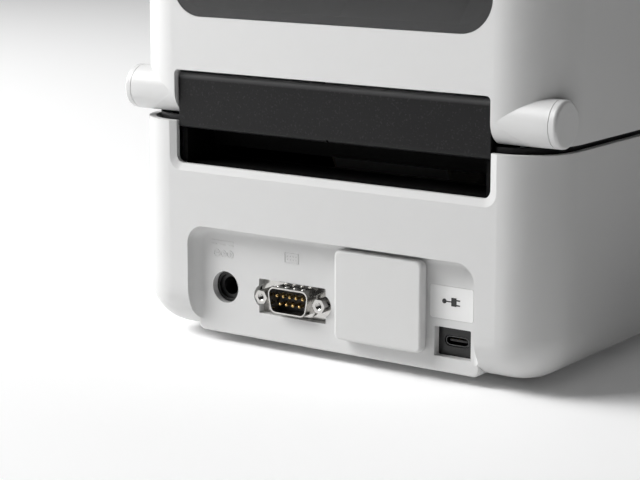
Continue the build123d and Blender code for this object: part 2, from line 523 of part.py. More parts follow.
# ---- electronics -------------------------------------------------------------------------
def main_board():
    body = block(-BOARD_X, BOARD_X, BOARD_Y0, BOARD_Y1, BOARD_TOP - BOARD_T, BOARD_TOP)
    body = fillet(body.edges().filter_by(Axis.Z), 2)
    for x, y in BOARD_SCREWS_AT:
        body -= rod_z(x, y, 0, 20, SCREW_R + 0.1)
    return body


def board_chips():
    def chip(x, y, w, d, h):
        return block(x - w / 2, x + w / 2, y - d / 2, y + d / 2, BOARD_TOP, BOARD_TOP + h)
    return group(chip(-8, 66, 14, 14, 1.4), chip(-34, 64, 10, 12, 1.2), chip(14, 60, 8, 5, 1.6),
                 chip(28, 66, 12, 8, 1.8), chip(42, 62, 7, 7, 2.4), chip(-48, 84, 6, 5, 1.2))


def board_capacitors():
    cans = [rod_z(x, y, BOARD_TOP, BOARD_TOP + h, r)
            for x, y, r, h in ((55, 66, 3.2, 8), (36, 92, 3, 10), (40, 80, 3.2, 8), (4, 82, 2.5, 6))]
    return group(*cans)


def board_sockets():
    bodies = []
    for x, w in ((-44, 14), (-24, 20), (20, 12), (46, 8)):
        body = block(x - w / 2, x + w / 2, BOARD_Y0 + 1, BOARD_Y0 + 6, BOARD_TOP, BOARD_TOP + 5)
        bodies.append(body - block(x - w / 2 + 1, x + w / 2 - 1, BOARD_Y0, BOARD_Y0 + 4.6,
                                   BOARD_TOP + 1, BOARD_TOP + 4.2))
    return group(*bodies)


# ---- platen, motor and gear train --------------------------------------------------------
def idler_place():
    """Where the idler sits: in mesh with the motor pinion and with the platen gear."""
    far = GEAR_M * (TEETH_MOTOR + TEETH_IDLER_BIG) / 2
    near = GEAR_M * (TEETH_PLATEN + TEETH_IDLER_SMALL) / 2
    dy, dz = PLATEN_Y - MOTOR_Y, PLATEN_Z - MOTOR_Z
    span = math.hypot(dy, dz)
    along = (far ** 2 - near ** 2 + span ** 2) / (2 * span)
    aside = math.sqrt(far ** 2 - along ** 2)
    uy, uz = dy / span, dz / span
    return MOTOR_Y + along * uy - aside * uz, MOTOR_Z + along * uz + aside * uy


IDLER_Y, IDLER_Z = idler_place()
INNER_X = CHEEK_X + CHEEK_T + 1.2      # gears beside the cheek
OUTER_X = INNER_X + GEAR_W + 1.0       # gears one layer out


def platen_shaft():
    return rod_x(-CHEEK_X - CHEEK_T - 4, INNER_X + GEAR_W + 0.3, PLATEN_Y, PLATEN_Z, PLATEN_SHAFT_R)


def platen_rubber():
    half = PLATEN_L / 2
    body = rod_x(-half, half, PLATEN_Y, PLATEN_Z, PLATEN_R)
    body = fillet(body.edges(), 0.4)
    return body - rod_x(-half - 1, half + 1, PLATEN_Y, PLATEN_Z, PLATEN_SHAFT_R)


def platen_bushes():
    ring = rod_x(CHEEK_X, CHEEK_X + CHEEK_T, PLATEN_Y, PLATEN_Z, BUSH_R)
    ring += rod_x(CHEEK_X - 1.2, CHEEK_X, PLATEN_Y, PLATEN_Z, BUSH_R + 1)
    ring -= rod_x(CHEEK_X - 2, CHEEK_X + 5, PLATEN_Y, PLATEN_Z, PLATEN_SHAFT_R + RUN_GAP)
    return both_sides(ring)


def train_turns():
    """Tooth angles of platen gear, idler (both rings) and motor pinion, all in mesh."""
    to_idler = math.atan2(IDLER_Z - PLATEN_Z, IDLER_Y - PLATEN_Y)
    small = meshed_turn(0.0, TEETH_PLATEN, TEETH_IDLER_SMALL, to_idler)
    to_motor = math.atan2(MOTOR_Z - IDLER_Z, MOTOR_Y - IDLER_Y)
    return small, meshed_turn(0.0, TEETH_IDLER_BIG, TEETH_MOTOR, to_motor)


IDLER_SMALL_TURN, MOTOR_TURN = train_turns()


def platen_gear():
    return gear_x(GEAR_M, TEETH_PLATEN, 0.0, INNER_X, INNER_X + GEAR_W, PLATEN_Y, PLATEN_Z,
                  PLATEN_SHAFT_R)


def idler_gear():
    body = gear_x(GEAR_M, TEETH_IDLER_SMALL, IDLER_SMALL_TURN, INNER_X, OUTER_X, IDLER_Y, IDLER_Z,
                  2.05)
    big = gear_x(GEAR_M, TEETH_IDLER_BIG, 0.0, OUTER_X, OUTER_X + GEAR_W - 1, IDLER_Y, IDLER_Z, 2.05)
    for k in range(5):
        a = 2 * math.pi * k / 5
        big -= rod_x(OUTER_X - 1, OUTER_X + 9, IDLER_Y + 11.5 * math.cos(a),
                     IDLER_Z + 11.5 * math.sin(a), 3.6)
    return body + big


def idler_stud():
    body = rod_x(CHEEK_X, OUTER_X + GEAR_W + 1, IDLER_Y, IDLER_Z, 2.0)
    return body + rod_x(OUTER_X + GEAR_W - 0.7, OUTER_X + GEAR_W + 1, IDLER_Y, IDLER_Z, 3.2)


def stepper_motor():
    body = rod_x(CHEEK_X - MOTOR_L - 1.5, CHEEK_X - 1.5, MOTOR_Y, MOTOR_Z, MOTOR_R)
    body = fillet(body.edges().group_by(Axis.X)[0], 1.5)
    flange = rod_x(CHEEK_X - 1.5, CHEEK_X - 0.02, MOTOR_Y, MOTOR_Z, MOTOR_R - 1)
    body += flange + rod_x(CHEEK_X - 1.5, CHEEK_X + 1.5, MOTOR_Y, MOTOR_Z, 5.0)
    body += block(CHEEK_X - 14, CHEEK_X - 4, MOTOR_Y + 15, MOTOR_Y + 21, MOTOR_Z - 6, MOTOR_Z + 6)
    return body - rod_x(CHEEK_X - 12, CHEEK_X + 5, MOTOR_Y, MOTOR_Z, 1.05)


def motor_shaft():
    return rod_x(CHEEK_X - 11.5, OUTER_X + GEAR_W, MOTOR_Y, MOTOR_Z, 1.0)


def motor_pinion():
    return gear_x(GEAR_M, TEETH_MOTOR, MOTOR_TURN, OUTER_X - 0.3, OUTER_X + GEAR_W, MOTOR_Y,
                  MOTOR_Z, 1.0)


# ---- label exit --------------------------------------------------------------------------
def exit_trim():
    body = block(-EXIT_HALF_W, EXIT_HALF_W, FRONT + 0.6, FRONT + 6.5, EXIT_LOW + 0.1, CASE_RIM)
    body = fillet(body.edges().filter_by(Axis.X).group_by(Axis.Z)[-1].sort_by(Axis.Y)[0], 2.5)
    body += block(-CHEEK_X + 0.2, CHEEK_X - 0.2, FRONT + 6.5, TEAR_Y, EXIT_LOW + 0.1, EXIT_LOW + 3)
    return body


def tear_bar():
    count = int(2 * TEAR_HALF_W / TOOTH_PITCH)
    corners = [(-TEAR_HALF_W, EXIT_LOW + 1), (-TEAR_HALF_W, TEAR_TOP - 1)]
    for k in range(count):
        x = -TEAR_HALF_W + k * TOOTH_PITCH
        corners += [(x + TOOTH_PITCH / 2, TEAR_TOP), (x + TOOTH_PITCH, TEAR_TOP - 1)]
    corners.append((TEAR_HALF_W, EXIT_LOW + 1))
    plane = Plane(origin=(0, TEAR_Y, 0), x_dir=(1, 0, 0), z_dir=(0, -1, 0))
    return extrude(plane * make_face(Polyline(*corners, close=True)), -TEAR_T)


# ---- control strip on the front ----------------------------------------------------------
def control_area(w, h, y0, y1):
    return plate_xz(w, h, 4.0, CONTROL_X, CONTROL_Z, y0, y1)


def button_cap(name, grow, y0, y1):
    x = BUTTONS_AT[name]
    if name == "power":
        return rod_y(x, y0, y1, CONTROL_Z, BUTTON_R + grow)
    return plate_xz(KEY_W + 2 * grow, KEY_H + 2 * grow, 2.5 + grow, x, CONTROL_Z, y0, y1)


def control_plate():
    body = control_area(CONTROL_W, CONTROL_H, CONTROL_FACE, FRONT + CONTROL_INSET)
    for name in BUTTONS_AT:
        body -= button_cap(name, 0.3, FRONT - 1, FRONT + 5)
    for x in LAMPS_AT:
        body -= rod_y(x, FRONT - 1, FRONT + 5, CONTROL_Z + 4, 1.2)
    return body


def front_button(name):
    body = button_cap(name, 0, FRONT + 0.05, FRONT + 4.2)
    body = fillet(body.faces().sort_by(Axis.Y)[0].edges(), 0.7)
    return body + rod_y(BUTTONS_AT[name], FRONT + 4.2, KEYBOARD_Y - 2.6, CONTROL_Z, 1.6)


def status_lamps():
    lamps = []
    for x in LAMPS_AT:
        lamp = rod_y(x, CONTROL_FACE - 0.2, KEYBOARD_Y - 0.02, CONTROL_Z + 4, 1.2)
        lamps.append(fillet(lamp.edges().group_by(Axis.Y)[0], 0.4))
    return group(*lamps)


def key_board():
    return control_area(CONTROL_W, CONTROL_H + 6, KEYBOARD_Y, KEYBOARD_Y + BOARD_T)


def key_switches():
    return group(*[block(x - 3, x + 3, KEYBOARD_Y - 1.6, KEYBOARD_Y, CONTROL_Z - 3, CONTROL_Z + 3)
                   for x in BUTTONS_AT.values()])


# ---- roll, guides and media sensor -------------------------------------------------------
def label_roll():
    body = rod_x(-ROLL_W / 2, ROLL_W / 2, ROLL_Y, ROLL_Z, ROLL_R)
    return body - rod_x(-ROLL_W, ROLL_W, ROLL_Y, ROLL_Z, CORE_R + CORE_T)


def roll_core():
    body = rod_x(-ROLL_W / 2, ROLL_W / 2, ROLL_Y, ROLL_Z, CORE_R + CORE_T)
    return body - rod_x(-ROLL_W, ROLL_W, ROLL_Y, ROLL_Z, CORE_R)


def rack_outline(length):
    """A rack from x = 0 to length, teeth upwards."""
    pitch = math.pi * RACK_M
    tip, root, slack = 0.7 * RACK_M, 1.1 * RACK_M, 0.12
    corners = []
    count = int(length / pitch) - 1
    for k in range(count):
        mid = (k + 1.0) * pitch
        wide, thin = pitch / 4 + 0.36 * root - slack, pitch / 4 - 0.36 * tip - slack
        corners += [(mid - wide, -root), (mid - thin, tip), (mid + thin, tip), (mid + wide, -root)]
    return [(0, -4.0), (0, -root)] + corners + [(length, -root), (length, -4.0)]


def guide(side):
    """One roll guide: an upright with a hub, and a rack under the tub floor."""
    x0, x1 = sorted((side * GUIDE_FACE, side * (GUIDE_FACE + GUIDE_T)))
    plate = rod_x(x0, x1, ROLL_Y, ROLL_Z, 23.0)
    plate += block(x0, x1, ROLL_Y - 23, ROLL_Y + 23, 20, ROLL_Z)
    plate &= rod_x(x0, x1, ROLL_Y, ROLL_Z, TUB_R - 0.8)
    plate -= rod_x(x0 - 1, x1 + 1, ROLL_Y, ROLL_Z - 42, 9.0)
    hub = rod_x(*sorted((side * (GUIDE_FACE - 8), side * (GUIDE_FACE + 0.1))), ROLL_Y, ROLL_Z, HUB_R)
    plate += chamfer(hub.edges().sort_by(lambda e: abs(e.center().X))[0], 1.5)
    stem_y = sorted((ROLL_Y + side * STEM_NEAR, ROLL_Y + side * STEM_FAR))
    plate += block(x0, x1, *stem_y, RACK_Z0, 24)
    # rack: a gap between two teeth stands at the pinion when the guide is at rest
    pitch = math.pi * RACK_M
    length = 25 * pitch
    start = 10.5 * pitch
    face = make_face(Polyline(*rack_outline(length), close=True))
    rack = extrude(face, RACK_Z1 - RACK_Z0)
    if side < 0:
        rack = Pos(-start, ROLL_Y - RACK_PITCH_R, RACK_Z0) * rack
    else:
        rack = Pos(start, ROLL_Y + RACK_PITCH_R, RACK_Z0) * Rot(0, 0, 180) * rack
    return plate + rack


def guide_pinion():
    face = make_face(Polyline(*gear_outline(RACK_M, RACK_TEETH, math.pi / 2, 0.2, 0.75), close=True))
    body = extrude(face, RACK_Z1 - RACK_Z0)
    return Pos(0, ROLL_Y, RACK_Z0) * body - rod_z(0, ROLL_Y, 0, 30, 1.5 + RUN_GAP)


def sensor_rail():
    return rod_x(-CHEEK_X - CHEEK_T, CHEEK_X + CHEEK_T, SENSOR_Y, SENSOR_Z, SENSOR_RAIL_R)


def media_sensor():
    body = block(-6, 6, SENSOR_Y - 5, SENSOR_Y + 5, SENSOR_Z - 3.0, DECK_TOP - 0.1)
    body = fillet(body.edges().filter_by(Axis.Z), 1.5)
    body -= rod_x(-8, 8, SENSOR_Y, SENSOR_Z, SENSOR_RAIL_R + RUN_GAP)
    return body - rod_z(0, SENSOR_Y, DECK_TOP - 1.2, DECK_TOP + 1, 1.6)


# ---- latch -------------------------------------------------------------------------------
def released(shape):
    """The latch is drawn locked and stands released at rest, turned forwards."""
    return Pos(0, LATCH_Y, LATCH_Z) * Rot(LATCH_TURN, 0, 0) * Pos(0, -LATCH_Y, -LATCH_Z) * shape


def latch_shaft():
    return rod_x(-LEVER_IN - 0.4, LEVER_IN + 0.4, LATCH_Y, LATCH_Z, LATCH_R)


def latch_hooks():
    hook = block(HOOK_X0, HOOK_X1, LATCH_Y - 3, LATCH_Y + 1, LATCH_Z, CATCH_Z + 6)
    hook += rod_x(HOOK_X0, HOOK_X1, LATCH_Y, LATCH_Z, 5.0)
    hook += block(HOOK_X0, HOOK_X1, LATCH_Y, LATCH_Y + 6, CATCH_Z + CATCH_R + 0.6, CATCH_Z + 6)
    hook -= rod_x(HOOK_X0 - 1, HOOK_X1 + 1, LATCH_Y, LATCH_Z, LATCH_R)
    return both_sides(released(hook))


def latch_levers():
    x0, x1 = LEVER_IN + 0.25, HALF_W + 1.6
    lever = rod_x(x0, x1, LATCH_Y, LATCH_Z, 6.0) + block(x0, x1, LATCH_Y - 4, LATCH_Y + 4, 55, LATCH_Z)
    lever += rod_x(x0, x1, LATCH_Y, 55, 4.0)
    lever = fillet(lever.faces().sort_by(Axis.X)[-1].edges(), 0.6)
    lever -= rod_x(x0 - 1, LEVER_IN + 0.4, LATCH_Y, LATCH_Z, LATCH_R)
    return both_sides(released(lever))


# ---- cover -------------------------------------------------------------------------------
def cover_profile(shrink):
    """Side view of the cover: flat top falling to the front, hinge round at the rear foot."""
    t = shrink
    drop_at, front_top = -30.0, BODY_H - 20.0
    slope = (BODY_H - front_top) / (drop_at - FRONT)
    low = COVER_LOW if not t else 60.0
    front, rear, top = FRONT + t, REAR - t, BODY_H - t
    foot = HINGE_Z - HINGE_R + t
    rise = t * (math.sqrt(1 + slope ** 2) - 1)
    corners = [(front, low), (front, front_top - t - rise + t * slope), (drop_at, top),
               (rear, top), (rear, foot), (HINGE_Y, foot)]
    if t:
        corners.append((HINGE_Y, low))
    face = make_face(Polyline(*corners, close=True))
    at_foot = [v for v in face.vertices() if abs(v.X - rear) < 0.01 and abs(v.Y - foot) < 0.01]
    face = fillet(at_foot, HINGE_R - t)
    bend = [v for v in face.vertices() if abs(v.X - drop_at) < 0.01 and abs(v.Y - top) < 0.01]
    return fillet(bend, 60.0)


def cover_solid(shrink):
    prism = tall_block(HALF_W - shrink, FRONT + shrink, REAR - shrink, 50, BODY_H + 20,
                       COVER_CORNER_R - shrink)
    body = prism & extrude(Plane.YZ * cover_profile(shrink), HALF_W, both=True)
    high = [e for e in body.edges() if e.center().Z > BODY_H - 24 - shrink]
    top = [e for e in high if abs(e.center().X) > 1 or e.center().Y > REAR - 5
           or e.center().Y < FRONT + 5]
    return fillet(top, COVER_TOP_R - shrink)


def window_cutter(shrink):
    w, r = WINDOW_HALF_W - shrink, WINDOW_R - shrink
    back = block(-w, w, REAR - COVER_TOP_R - 12, REAR + 5, WINDOW_LOW + shrink, BODY_H + 5)
    back = fillet(back.edges().filter_by(Axis.Y).group_by(Axis.Z)[0], r)
    top = block(-w, w, WINDOW_FRONT + shrink, REAR - 2, WINDOW_LOW + r + 2, BODY_H + 5)
    top = fillet(top.edges().filter_by(Axis.Z).group_by(Axis.Y)[0], r)
    return back + top


def cover_shell():
    body = cover_solid(0)
    body -= cover_solid(COVER_WALL)
    # window rebate and opening
    body -= window_cutter(0) - cover_solid(WINDOW_T)
    body -= window_cutter(3.0)
    # notch over the rear panel, mouth at the front
    body -= fillet(block(-NOTCH_HALF_W, NOTCH_HALF_W, REAR - 16, REAR + 5, 60, NOTCH_TOP)
                   .edges().filter_by(Axis.Y).group_by(Axis.Z)[-1], 1.6)
    body -= fillet(block(-EXIT_HALF_W, EXIT_HALF_W, FRONT - 5, FRONT + 6, 60, MOUTH_TOP)
                   .edges().filter_by(Axis.Y).group_by(Axis.Z)[-1], 2.0)
    for side in (-1, 1):
        x0, x1 = sorted((side * (NOTCH_HALF_W + 1.0), side * BARREL_END))
        body += rod_x(x0, x1, HINGE_Y, HINGE_Z, BARREL_R)
        x0, x1 = sorted((side * NOTCH_HALF_W, side * (BARREL_END - 2.0)))
        body -= rod_x(x0, x1, HINGE_Y, HINGE_Z, HINGE_PIN_R + RUN_GAP)
        body -= rod_x(*sorted((side * 80, side * 95)), HINGE_Y, HINGE_Z, CAP_STEM_R + 0.02)
        body -= rod_x(*sorted((side * BARREL_END, side * 95)), HINGE_Y, HINGE_Z, BARREL_R + 0.2)
        body -= rod_x(*sorted((side * (COVER_IN - 0.5), side * (COVER_IN + 1.6))), CATCH_Y, CATCH_Z, CATCH_R)
    return body


def barrel_caps():
    cap = rod_x(BARREL_END + 0.25, BARREL_END + CAP_T, HINGE_Y, HINGE_Z, BARREL_R)
    cap = fillet(cap.edges().group_by(Axis.X)[-1], 1.2)
    cap += rod_x(BARREL_END - 2.4, BARREL_END + 1, HINGE_Y, HINGE_Z, CAP_STEM_R)
    return both_sides(cap)


def cover_window():
    return (cover_solid(0) - cover_solid(WINDOW_T - 0.05)) & window_cutter(0.12)


def catch_pins():
    return both_sides(rod_x(HOOK_X0 - 1.5, COVER_IN + 1.5, CATCH_Y, CATCH_Z, CATCH_R))


def head_carrier():
    """The black plate across the front of the cover that the print head hangs from."""
    body = tall_block(COVER_IN - 0.2, FRONT + COVER_WALL + 0.2, -52, LINER_LOW, LINER_LOW + LINER_T, 3)
    body &= tall_block(COVER_IN - 0.2, FRONT + COVER_WALL + 0.2, REAR, 0, 200,
                       COVER_CORNER_R - COVER_WALL - 0.2)
    for x in (-40, 0, 40):
        body += block(x - 1.2, x + 1.2, FRONT + 16, -56, LINER_LOW + LINER_T, LINER_LOW + LINER_T + 8)
    for side in (-1, 1):
        body -= rod_z(side * HEAD_POSTS_X, HEAD_POST_Y, 90, 103, HEAD_POST_R)
    return body


def head_screws():
    screws = []
    for side in (-1, 1):
        x = side * HEAD_POSTS_X
        screw = rod_z(x, HEAD_POST_Y, SINK_LOW - 0.2, LINER_LOW + LINER_T, HEAD_POST_R)
        screws.append(screw + rod_z(x, HEAD_POST_Y, SINK_LOW - 1.4, SINK_LOW - 0.05, 3.4))
    return group(*screws)


def head_sink():
    body = block(-HEAD_W / 2, HEAD_W / 2, FRONT + 12, -70, SINK_LOW, SINK_LOW + 3)
    for k in range(5):
        y = FRONT + 14 + k * 3.2
        body += block(-HEAD_W / 2, HEAD_W / 2, y, y + 1.4, SINK_LOW + 2, SINK_TOP - 1)
    body += block(-HEAD_W / 2, HEAD_W / 2, FRONT + 29, FRONT + 31, SINK_LOW + 2, SINK_TOP - 1)
    for side in (-1, 1):
        body += rod_z(side * SPRINGS_X, SPRING_Y, SINK_LOW + 2, SINK_TOP, HEAD_SPRING_R + 1)
        body -= rod_z(side * HEAD_POSTS_X, HEAD_POST_Y, 70, 95, HEAD_POST_R + RUN_GAP)
    return body


def head_ceramic():
    return block(-HEAD_W / 2 + 1, HEAD_W / 2 - 1, PLATEN_Y - 6, PLATEN_Y + 8, SINK_LOW - 1.0, SINK_LOW)


def head_springs():
    coils = []
    turns = 5
    rise = (HEAD_SPRING_L - 2 * HEAD_SPRING_WIRE) / turns
    for side in (-1, 1):
        path = Helix(rise, HEAD_SPRING_L - 2 * HEAD_SPRING_WIRE, HEAD_SPRING_R - HEAD_SPRING_WIRE)
        ring = Plane(origin=path @ 0, z_dir=path % 0) * Circle(HEAD_SPRING_WIRE)
        coil = sweep(ring, path=path, is_frenet=True)
        coils.append(Pos(side * SPRINGS_X, SPRING_Y, SINK_TOP + HEAD_SPRING_WIRE) * coil)
    return group(*coils)


# ---- build and export --------------------------------------------------------------------
PARTS = {
    "lower_case": lower_case, "bottom_plate": bottom_plate, "rubber_feet": rubber_feet,
    "case_screws": case_screws, "roll_chassis": roll_chassis, "slot_panel": slot_panel,
    "media_channel": media_channel,
    "hinge_pins": hinge_pins, "power_jack": power_jack, "power_jack_pin": power_jack_pin,
    "serial_shell": serial_shell, "serial_insert": serial_insert, "serial_pins": serial_pins,
    "serial_jackscrews": serial_jackscrews, "interface_blank": interface_blank,
    "usb_bezel": usb_bezel, "usb_shell": usb_shell, "usb_tongue": usb_tongue,
    "port_label": port_label, "main_board": main_board, "board_chips": board_chips,
    "board_capacitors": board_capacitors, "board_sockets": board_sockets,
    "platen_shaft": platen_shaft, "platen_rubber": platen_rubber,
    "platen_bushes": platen_bushes, "platen_gear": platen_gear, "idler_gear": idler_gear,
    "idler_stud": idler_stud, "stepper_motor": stepper_motor, "motor_shaft": motor_shaft,
    "motor_pinion": motor_pinion, "exit_trim": exit_trim, "tear_bar": tear_bar,
    "control_plate": control_plate, "status_lamps": status_lamps, "key_board": key_board,
    "key_switches": key_switches,
    "power_button": lambda: front_button("power"), "feed_button": lambda: front_button("feed"),
    "mode_button": lambda: front_button("mode"), "label_roll": label_roll, "roll_core": roll_core,
    "left_guide": lambda: guide(-1), "right_guide": lambda: guide(1),
    "guide_pinion": guide_pinion, "sensor_rail": sensor_rail, "media_sensor": media_sensor,
    "latch_shaft": latch_shaft, "latch_hooks": latch_hooks, "latch_levers": latch_levers,
    "cover_shell": cover_shell, "barrel_caps": barrel_caps, "cover_window": cover_window,
    "catch_pins": catch_pins, "head_carrier": head_carrier, "head_screws": head_screws,
    "head_sink": head_sink, "head_ceramic": head_ceramic, "head_springs": head_springs,
}


def main():
    os.makedirs("parts", exist_ok=True)
    for name, make in PARTS.items():
        export_step(make(), f"parts/{name}.step")


main()
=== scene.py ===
import math

import bmesh
import bpy
from mathutils import Matrix, Vector


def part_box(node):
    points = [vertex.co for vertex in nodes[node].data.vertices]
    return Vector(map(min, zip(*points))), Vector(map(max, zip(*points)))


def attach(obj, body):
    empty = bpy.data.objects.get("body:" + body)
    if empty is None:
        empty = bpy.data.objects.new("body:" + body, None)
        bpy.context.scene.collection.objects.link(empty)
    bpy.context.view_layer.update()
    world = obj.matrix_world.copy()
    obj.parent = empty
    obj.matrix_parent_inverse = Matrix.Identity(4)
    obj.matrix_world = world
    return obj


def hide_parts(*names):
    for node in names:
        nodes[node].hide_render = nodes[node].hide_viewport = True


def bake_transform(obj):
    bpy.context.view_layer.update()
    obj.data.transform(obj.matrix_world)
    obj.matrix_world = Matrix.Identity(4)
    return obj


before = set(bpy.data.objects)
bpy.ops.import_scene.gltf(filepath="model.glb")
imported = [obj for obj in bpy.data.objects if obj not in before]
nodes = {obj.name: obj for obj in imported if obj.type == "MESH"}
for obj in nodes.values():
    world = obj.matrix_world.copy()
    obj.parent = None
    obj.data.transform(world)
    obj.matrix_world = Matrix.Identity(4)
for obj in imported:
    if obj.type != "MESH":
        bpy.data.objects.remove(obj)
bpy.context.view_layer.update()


# ---- studio: camera, floor and light ------------------------------------------------------
# The printer stands on a seamless white table, seen from behind and a little to its left,
# and lit by two large soft lights on its connector side, with a weak one in front and a
# weak fill all round.
camera = bpy.data.objects.new("camera", bpy.data.cameras.new("camera"))
camera.data.lens = 111.85
camera.data.sensor_width = 36.0
camera.data.clip_start, camera.data.clip_end = 0.01, 60.0
camera.location = (-0.3848, 0.6551, 0.1795)
camera.rotation_euler = Vector((0.5680, -0.7986, -0.1991)).to_track_quat("-Z", "Y").to_euler()
bpy.context.scene.collection.objects.link(camera)
bpy.context.scene.camera = camera
bpy.context.scene.view_settings.view_transform = "Standard"

table = bmesh.new()
bmesh.ops.create_grid(table, x_segments=1, y_segments=1, size=9.0)
table_mesh = bpy.data.meshes.new("table")
table.to_mesh(table_mesh)
table.free()
table_top = bpy.data.objects.new("table", table_mesh)
bpy.context.scene.collection.objects.link(table_top)
table_paint = bpy.data.materials.new("table white")
table_paint.use_nodes = True
table_shader = table_paint.node_tree.nodes["Principled BSDF"]
table_shader.inputs["Base Color"].default_value = (0.93, 0.93, 0.93, 1)
table_shader.inputs["Roughness"].default_value = 0.75
table_shader.inputs["Emission Color"].default_value = (1, 1, 1, 1)
table_shader.inputs["Emission Strength"].default_value = 0.04
table_mesh.materials.append(table_paint)

# Each light's name, place, aim, width and power.
for lamp_name, place, aim, width, power in (
        ("low key", (1.65, 0.62, 0.95), (0.0, 0.05, 0.06), 1.0, 33.0),
        ("high key", (1.25, 1.00, 1.50), (0.0, 0.05, 0.06), 1.0, 33.5),
        ("front", (-0.6, -1.4, 1.2), (0.0, 0.0, 0.1), 1.2, 4.0)):
    lamp = bpy.data.objects.new(lamp_name, bpy.data.lights.new(lamp_name, "AREA"))
    lamp.data.size = width
    lamp.data.energy = power
    lamp.location = place
    lamp.rotation_euler = (Vector(aim) - Vector(place)).to_track_quat("-Z", "Y").to_euler()
    bpy.context.scene.collection.objects.link(lamp)

sky = bpy.data.worlds.new("soft white")
bpy.context.scene.world = sky
sky.use_nodes = True
sky.node_tree.nodes["Background"].inputs["Color"].default_value = (1.0, 1.0, 1.0, 1)
sky.node_tree.nodes["Background"].inputs["Strength"].default_value = 0.05


# ---- white mouldings: lower case, cover, barrel caps, interface blank ---------------------
# Injection moulded ABS in a warm light grey, spark textured in the tool so that it scatters
# light softly. The tone drifts a little over a big moulding.
def graph_point(tree, kind, where, **settings):
    node = tree.nodes.new(kind)
    node.location = where
    for key, value in settings.items():
        setattr(node, key, value)
    return node


def make_group(name, inputs, outputs):
    group = bpy.data.node_groups.new(name, "ShaderNodeTree")
    for label, kind, value in inputs:
        socket = group.interface.new_socket(label, in_out="INPUT", socket_type=kind)
        socket.default_value = value
    for label, kind in outputs:
        group.interface.new_socket(label, in_out="OUTPUT", socket_type=kind)
    start = group.nodes.new("NodeGroupInput")
    start.location = (-900, 0)
    end = group.nodes.new("NodeGroupOutput")
    end.location = (700, 0)
    return group, start, end


# Spark texture: fine bumps from the tool, with a mask of the little crests that catch light.
spark, spark_in, spark_out = make_group(
    "spark texture",
    [("Grain", "NodeSocketFloat", 2200.0), ("Depth", "NodeSocketFloat", 0.00002)],
    [("Normal", "NodeSocketVector"), ("Crest", "NodeSocketFloat"), ("Drift", "NodeSocketFloat")])
spark_place = graph_point(spark, "ShaderNodeTexCoord", (-900, 250))
spark_noise = graph_point(spark, "ShaderNodeTexNoise", (-600, 200))
spark_noise.inputs["Detail"].default_value = 3.0
spark_noise.inputs["Roughness"].default_value = 0.62
spark_bump = graph_point(spark, "ShaderNodeBump", (200, 120))
spark_bump.inputs["Strength"].default_value = 1.0
spark_crest = graph_point(spark, "ShaderNodeMapRange", (-200, -60))
spark_crest.inputs["From Min"].default_value = 0.52
spark_crest.inputs["From Max"].default_value = 0.72
spark_drift = graph_point(spark, "ShaderNodeTexNoise", (-600, -260))
spark_drift.inputs["Scale"].default_value = 9.0
spark_drift.inputs["Detail"].default_value = 2.0
spark.links.new(spark_place.outputs["Object"], spark_noise.inputs["Vector"])
spark.links.new(spark_place.outputs["Object"], spark_drift.inputs["Vector"])
spark.links.new(spark_in.outputs["Grain"], spark_noise.inputs["Scale"])
spark.links.new(spark_in.outputs["Depth"], spark_bump.inputs["Distance"])
spark.links.new(spark_noise.outputs["Fac"], spark_bump.inputs["Height"])
spark.links.new(spark_noise.outputs["Fac"], spark_crest.inputs["Value"])
spark.links.new(spark_bump.outputs["Normal"], spark_out.inputs["Normal"])
spark.links.new(spark_crest.outputs["Result"], spark_out.inputs["Crest"])
spark.links.new(spark_drift.outputs["Fac"], spark_out.inputs["Drift"])


def moulded(name, low, high, rough, grain, depth, gloss=0.5):
    """A moulded plastic: its colour drifts from low to high, its crests shine less."""
    paint = bpy.data.materials.new(name)
    paint.use_nodes = True
    tree = paint.node_tree
    shader = tree.nodes["Principled BSDF"]
    shader.inputs["Specular IOR Level"].default_value = gloss
    texture = graph_point(tree, "ShaderNodeGroup", (-700, 0), node_tree=spark)
    texture.inputs["Grain"].default_value = grain
    texture.inputs["Depth"].default_value = depth
    tone = graph_point(tree, "ShaderNodeMix", (-400, 200), data_type="RGBA")
    tone.inputs["A"].default_value = (*low, 1)
    tone.inputs["B"].default_value = (*high, 1)
    tree.links.new(texture.outputs["Drift"], tone.inputs["Factor"])
    tree.links.new(tone.outputs["Result"], shader.inputs["Base Color"])
    shine = graph_point(tree, "ShaderNodeMapRange", (-400, -200))
    shine.inputs["To Min"].default_value = rough - 0.05
    shine.inputs["To Max"].default_value = rough + 0.07
    tree.links.new(texture.outputs["Crest"], shine.inputs["Value"])
    tree.links.new(shine.outputs["Result"], shader.inputs["Roughness"])
    tree.links.new(texture.outputs["Normal"], shader.inputs["Normal"])
    return paint


def wear(paint, *names):
    """Gives CAD nodes their finish."""
    for name in names:
        for slot in nodes[name].material_slots:
            slot.material = paint


case_white = moulded("case white", (0.60, 0.60, 0.597), (0.625, 0.625, 0.622), 0.46, 2600.0,
                     0.000012)
# Painted light: the cover's white is a little lighter than the case's, standing for the stronger
# light that falls on the upper moulding.
cover_white_painted_lighter = moulded("cover white", (0.645, 0.645, 0.642), (0.67, 0.67, 0.667), 0.44, 2600.0,
                      0.000012)
blank_white = moulded("blank white", (0.605, 0.605, 0.60), (0.62, 0.62, 0.615), 0.50, 2200.0,
                      0.00002)
wear(case_white, "lower_case")
wear(cover_white_painted_lighter, "cover_shell", "barrel_caps")
wear(blank_white, "interface_blank")


# Raised marks over the sockets, cut into the tool so they stand 0.16 mm proud of the bay: a
# direct-current sign, a centre-positive sign and a nine-way plug outline. No lettering.
bay_face = 0.1067
mark_rise = 0.00016


